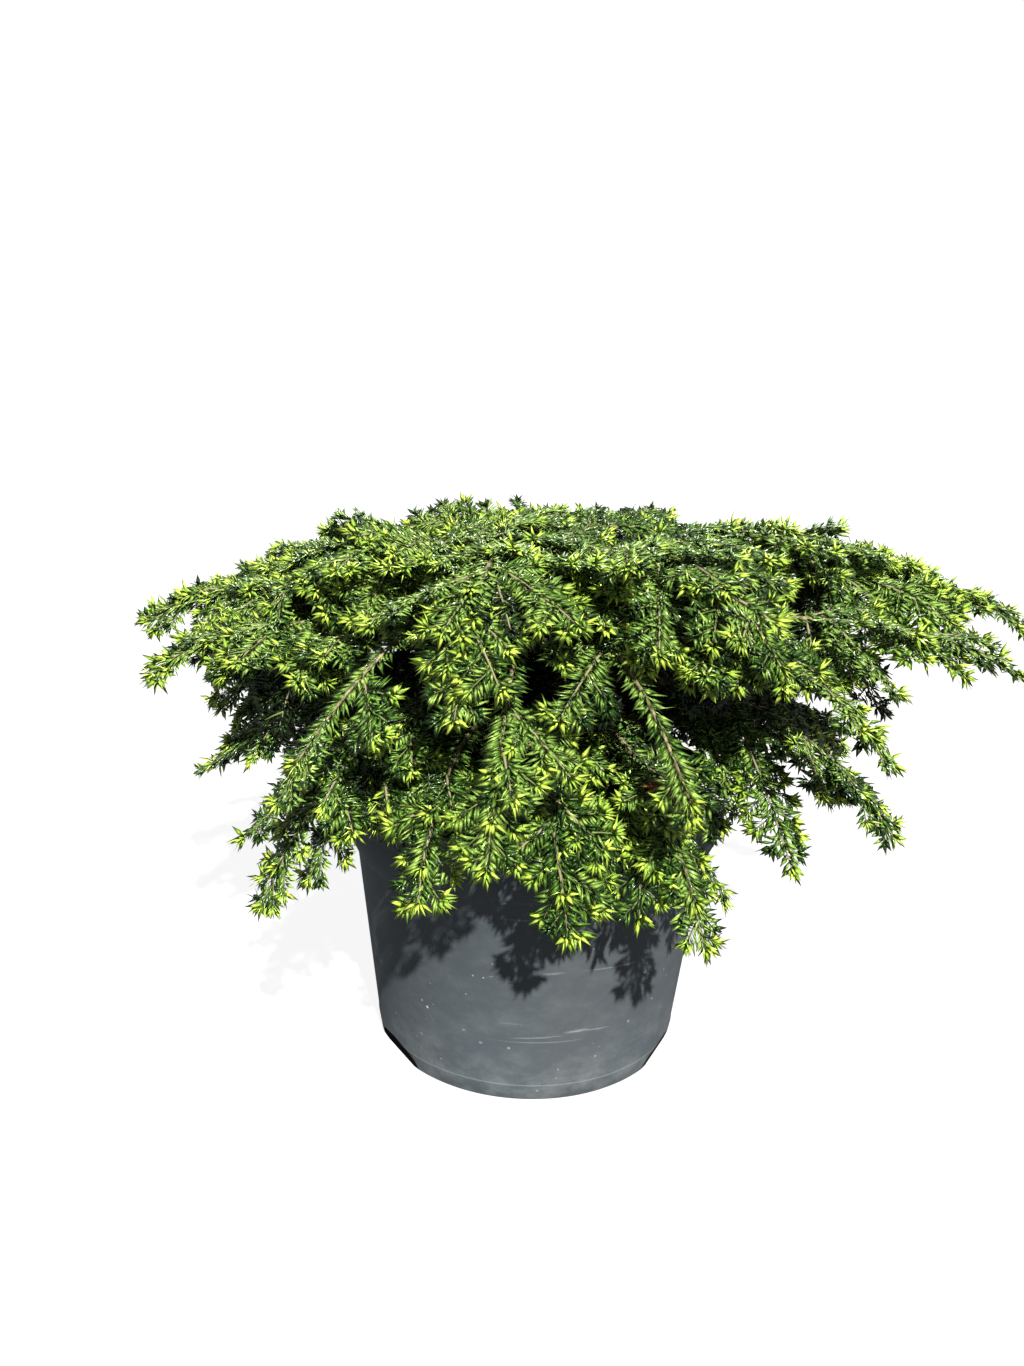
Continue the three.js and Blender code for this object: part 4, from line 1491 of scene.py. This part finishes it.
# single fronds that the photograph shows, and a few that close holes: the spray that each grows on,
# where on its line, its tip in millimetres, and the tier whose needles it has
oddFronds = [
    ("lower_right", 0.5, (91, -100, 128), "lower"),
    ("lower_left", 0.5, (-149, 4, 124), "lower"),
    ("upper_left_middle", 0.62, (-146, 12, 150), "lower"),
    ("lower_front_right", 0.58, (44, -112, 143), "upper"),
    ("lower_front_right", 0.78, (54, -106, 111), "lower"),
    ("lower_front_right", 0.62, (36, -111, 108), "lower"),
    ("lower_front", 0.62, (23, -117, 115), "upper"),
    ("lower_front_right", 0.6, (73, -72, 128), "upper"),
    ("lower_front_right", 0.7, (72, -83, 106), "lower"),
    ("lower_right", 0.4, (74, -77, 140), "upper"),
    ("lower_left_back", 0.5, (-94, 4, 134), "inner"),
    ("lower_left_back", 0.4, (-84, 12, 128), "inner"),
    ("lower_left", 0.45, (-90, -8, 136), "inner"),
    ("lower_left_front", 0.6, (-84, -86, 108), "lower"),
    ("lower_left_front", 0.45, (-113, -71, 122), "upper"),
    ("crown_front", 0.3, (8, -94, 196), "crown"),
    ("crown_front", 0.2, (14, -70, 214), "crown"),
    ("crown_front_right", 0.3, (36, -94, 196), "crown"),
    ("crown_front_right", 0.22, (22, -84, 207), "crown"),
    ("lower_front_right", 0.6, (49, -113, 154), "dead"),
]


# how light a frond's needles are: by chance, and by painted light and shade, darker by how far it points to
# the right and to the back
toneAndSideLight = {"chance": (0.6, 1.5), "usual": 1.45, "right": -0.75, "back": -0.35}


def growPlaces(random, spray, places, tuftScale=1.0, sparse=1.0, tier=None):
    # a low tuftScale makes tufts rare, and a high sparse sets the needles farther apart
    start = len(spray["needles"])
    for shapes in places:
        frond = chooseShape(shapes)
        if frond is None:
            continue
        # painted light and shade: fronds that point left and to the front get lighter tints, those that
        # point right and back darker
        right, back = toneAndSideLight["right"] * frond[1][0], toneAndSideLight["back"] * frond[1][1]
        toneAndLight = random.uniform(*toneAndSideLight["chance"]) * (toneAndSideLight["usual"] + right + back)
        deep, mid, light, fresh = tierTints[tier or spray["tier"]]
        tints = (deep / toneAndLight, mid / toneAndLight**0.5, light * toneAndLight, fresh * toneAndLight)
        growFrond(random, spray, frond, tints, tuftShape["share"] * tuftScale, sparse)
    # painted shade: the inner fronds' needles all get the near-black inside tint
    if tier == "inner":
        tintAll(spray["needles"][start:], "inside")


def growSpray(random, spray):
    growPlaces(random, spray, spray["places"], tuftScale=0.75 if spray["tier"] == "crown" else 1)
    if spray["tier"] != "leader":
        growPlaces(random, spray, betweenPlaces(random, spray), tuftScale=0.7, sparse=1.4)
        growPlaces(random, spray, coverPlaces(random, spray))
        growPlaces(random, spray, shadePlaces(random, spray), tuftScale=0, sparse=1.8, tier="inner")
    stemNeedles(random, spray, tierTints[spray["tier"]])


insideSpray = {"tier": "inner", "index": len(sprays)}
for spray in (*sprays, insideSpray):
    spray.update(needles=[], tufts=[], twigs=[], axes=[])
insideRandom = np.random.default_rng(seeds["fronds"] + insideSpray["index"])
trunkPlaces = insidePlaces(np.random.default_rng(seeds["inside"]), insideShape)
growPlaces(insideRandom, insideSpray, trunkPlaces, tuftScale=0, sparse=1.6, tier="inner")
for spray in sprays:
    growSpray(np.random.default_rng(seeds["fronds"] + spray["index"]), spray)
growOddFronds(np.random.default_rng(seeds["oddFronds"]), oddFronds)


# needles and twigs as joined meshes

# foot, one side, tip and other side of a needle, as shares of its length, half width and thickness
needlePoints = np.array([
    (0.0, 0.0, -0.5),
    (0.48, -1.0, 0.5),
    (1.0, 0.0, -0.5),
    (0.42, 1.0, 0.5),
])
needleTop = ((0, 1, 3), (1, 2, 3))
needleUnder = ((0, 2, 1), (0, 3, 2))


def needleMesh(name, rows, materials, underOf):
    # a row holds a needle's base, direction, face, length, width and tint
    # underOf gives the material of its underside for each tint
    base, direction, face = rows[:, 0:3], rows[:, 3:6], rows[:, 6:9]
    across = np.cross(face, direction)
    x = needlePoints[None, :, 0:1] * rows[:, None, 9:10]
    y = needlePoints[None, :, 1:2] * rows[:, None, 10:11] / 2
    z = needlePoints[None, :, 2:3] * needleShape["thickness"]
    verts = base[:, None] + x * direction[:, None] + y * across[:, None] + z * face[:, None]
    firstCorner = len(needlePoints) * np.arange(len(rows))
    faces = np.array(needleTop + needleUnder)[None] + firstCorner[:, None, None]
    tint = rows[:, 11].astype(int)
    under = np.array(underOf)[tint]
    tops, unders = len(needleTop), len(needleUnder)
    indices = np.hstack([np.repeat(tint[:, None], tops, 1), np.repeat(under[:, None], unders, 1)])
    verts, faces = verts.reshape(-1, 3) * mm, faces.reshape(-1, 3)
    return triangleMesh(name, verts, faces, materials, indices.reshape(-1))


def triangleMesh(name, verts, faces, materials, indices):
    mesh = bpy.data.meshes.new(name)
    mesh.vertices.add(len(verts))
    mesh.vertices.foreach_set("co", verts.astype(np.float32).ravel())
    mesh.loops.add(3 * len(faces))
    mesh.loops.foreach_set("vertex_index", faces.astype(np.int32).ravel())
    mesh.polygons.add(len(faces))
    mesh.polygons.foreach_set("loop_start", np.arange(0, 3 * len(faces), 3, dtype=np.int32))
    mesh.polygons.foreach_set("loop_total", np.full(len(faces), 3, dtype=np.int32))
    for material in materials:
        mesh.materials.append(material)
    mesh.polygons.foreach_set("material_index", indices.astype(np.int32))
    mesh.update(calc_edges=True)
    mesh.validate()
    piece = bpy.data.objects.new(name, mesh)
    bpy.context.scene.collection.objects.link(piece)
    return piece


def twigMesh(name, twigs, radii, sides, steps, material):
    shares = np.linspace(0, 1, steps + 1)
    thick = [mix(*radii, i / steps) for i in range(steps + 1)]
    tubes = [tubeArrays([Vector(p) for p in twigPoints(twig, shares)], thick, sides) for twig in twigs]
    return meshPiece(name, *joinArrays(tubes), [material], smooth=True)


def tierPart(tier, front=None):
    # a tier's sprays, or those of them that end in its front part or in its back part
    tierSprays = [spray for spray in sprays if spray["tier"] == tier]
    return [s for s in tierSprays if front is None or (s["line"](1).y < backStart) == front]


def gather(group, kind):
    return np.vstack([part for spray in group for part in spray[kind]])


def gatherTwigs(kind):
    return [twig for spray in (*sprays, insideSpray) for twig in spray[kind]]


backStart = 20  # millimetres behind the pot's middle
groups = {
    "CrownTop": [*tierPart("leader"), insideSpray],
    "CrownFront": tierPart("crown", True),
    "CrownBack": tierPart("crown", False),
    "UpperFront": tierPart("upper", True),
    "UpperBack": tierPart("upper", False),
    "LowerFront": tierPart("lower", True),
    "LowerBack": tierPart("lower", False),
}
tuftGroups = {
    "Above": groups["CrownTop"] + tierPart("crown"),
    "Below": tierPart("upper") + tierPart("lower"),
}

tuftNames = ("tuft", "glow")
needleMaterials = [
    newMaterial(name + "Needle", needleFinish[name], roughness=0.34, specular=0.8, ior=1.63)
    for name in tintNames
]
tuftMaterials = [
    newMaterial(name + "Needle", needleFinish[name], roughness=0.38, specular=0.7)
    for name in tuftNames
]
foliage = []
for name, group in groups.items():
    needles = needleMesh("needles" + name, gather(group, "needles"), needleMaterials, underTints)
    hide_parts(*["foliage_" + spray["name"] for spray in group if spray is not insideSpray])
    foliage.append(needles)
for name, group in tuftGroups.items():
    foliage.append(needleMesh("tufts" + name, gather(group, "tufts"), tuftMaterials, (0, 1)))

tanTwig = newMaterial("tanTwig", twigFinish["tan"], roughness=0.75, specular=0.3)
greenTwig = newMaterial("greenTwig", twigFinish["green"], roughness=0.7, specular=0.3)
axes = twigMesh("frondStems", gatherTwigs("axes"), frondShape["axisRadius"], 4, 4, tanTwig)
twigs = twigMesh("fineTwigs", gatherTwigs("twigs"), frondShape["twigRadius"], 3, 2, greenTwig)
for piece in foliage:
    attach(piece, "root")
for piece in (axes, twigs):
    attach(piece, "root")
for piece in (*foliage, axes, twigs):
    print(piece.name, len(piece.data.polygons), "faces")


# plain pale floor and a white room round it, lit from within so that shadows on them stay pale

roomShape = {
    "floor": 0.14,  # grey of the floor's own colour
    "glow": 0.9,
    "radius": 12,  # metres
}


def glowMaterial(name, colour, glow):
    material = newMaterial(name, (colour, colour, colour), roughness=0.9, specular=0.1)
    shader = material.node_tree.nodes["Principled BSDF"]
    shader.inputs["Emission Color"].default_value = (1, 1, 1, 1)
    shader.inputs["Emission Strength"].default_value = glow
    return material


def addStage(name, material):
    piece = bpy.context.object
    piece.name = name
    piece.data.materials.append(material)
    piece.visible_diffuse = False
    piece.visible_glossy = False
    return piece


deselectAll()
bpy.ops.mesh.primitive_plane_add(size=2.5 * roomShape["radius"], location=(0, 0, 0))
addStage("paleFloor", glowMaterial("paleFloor", roomShape["floor"], roomShape["glow"]))
deselectAll()
bpy.ops.mesh.primitive_uv_sphere_add(
    segments=48, ring_count=24, radius=roomShape["radius"], location=(0, 0, 0)
)
room = addStage("whiteRoom", glowMaterial("whiteRoom", 0.0, 1.0))
room.visible_shadow = False
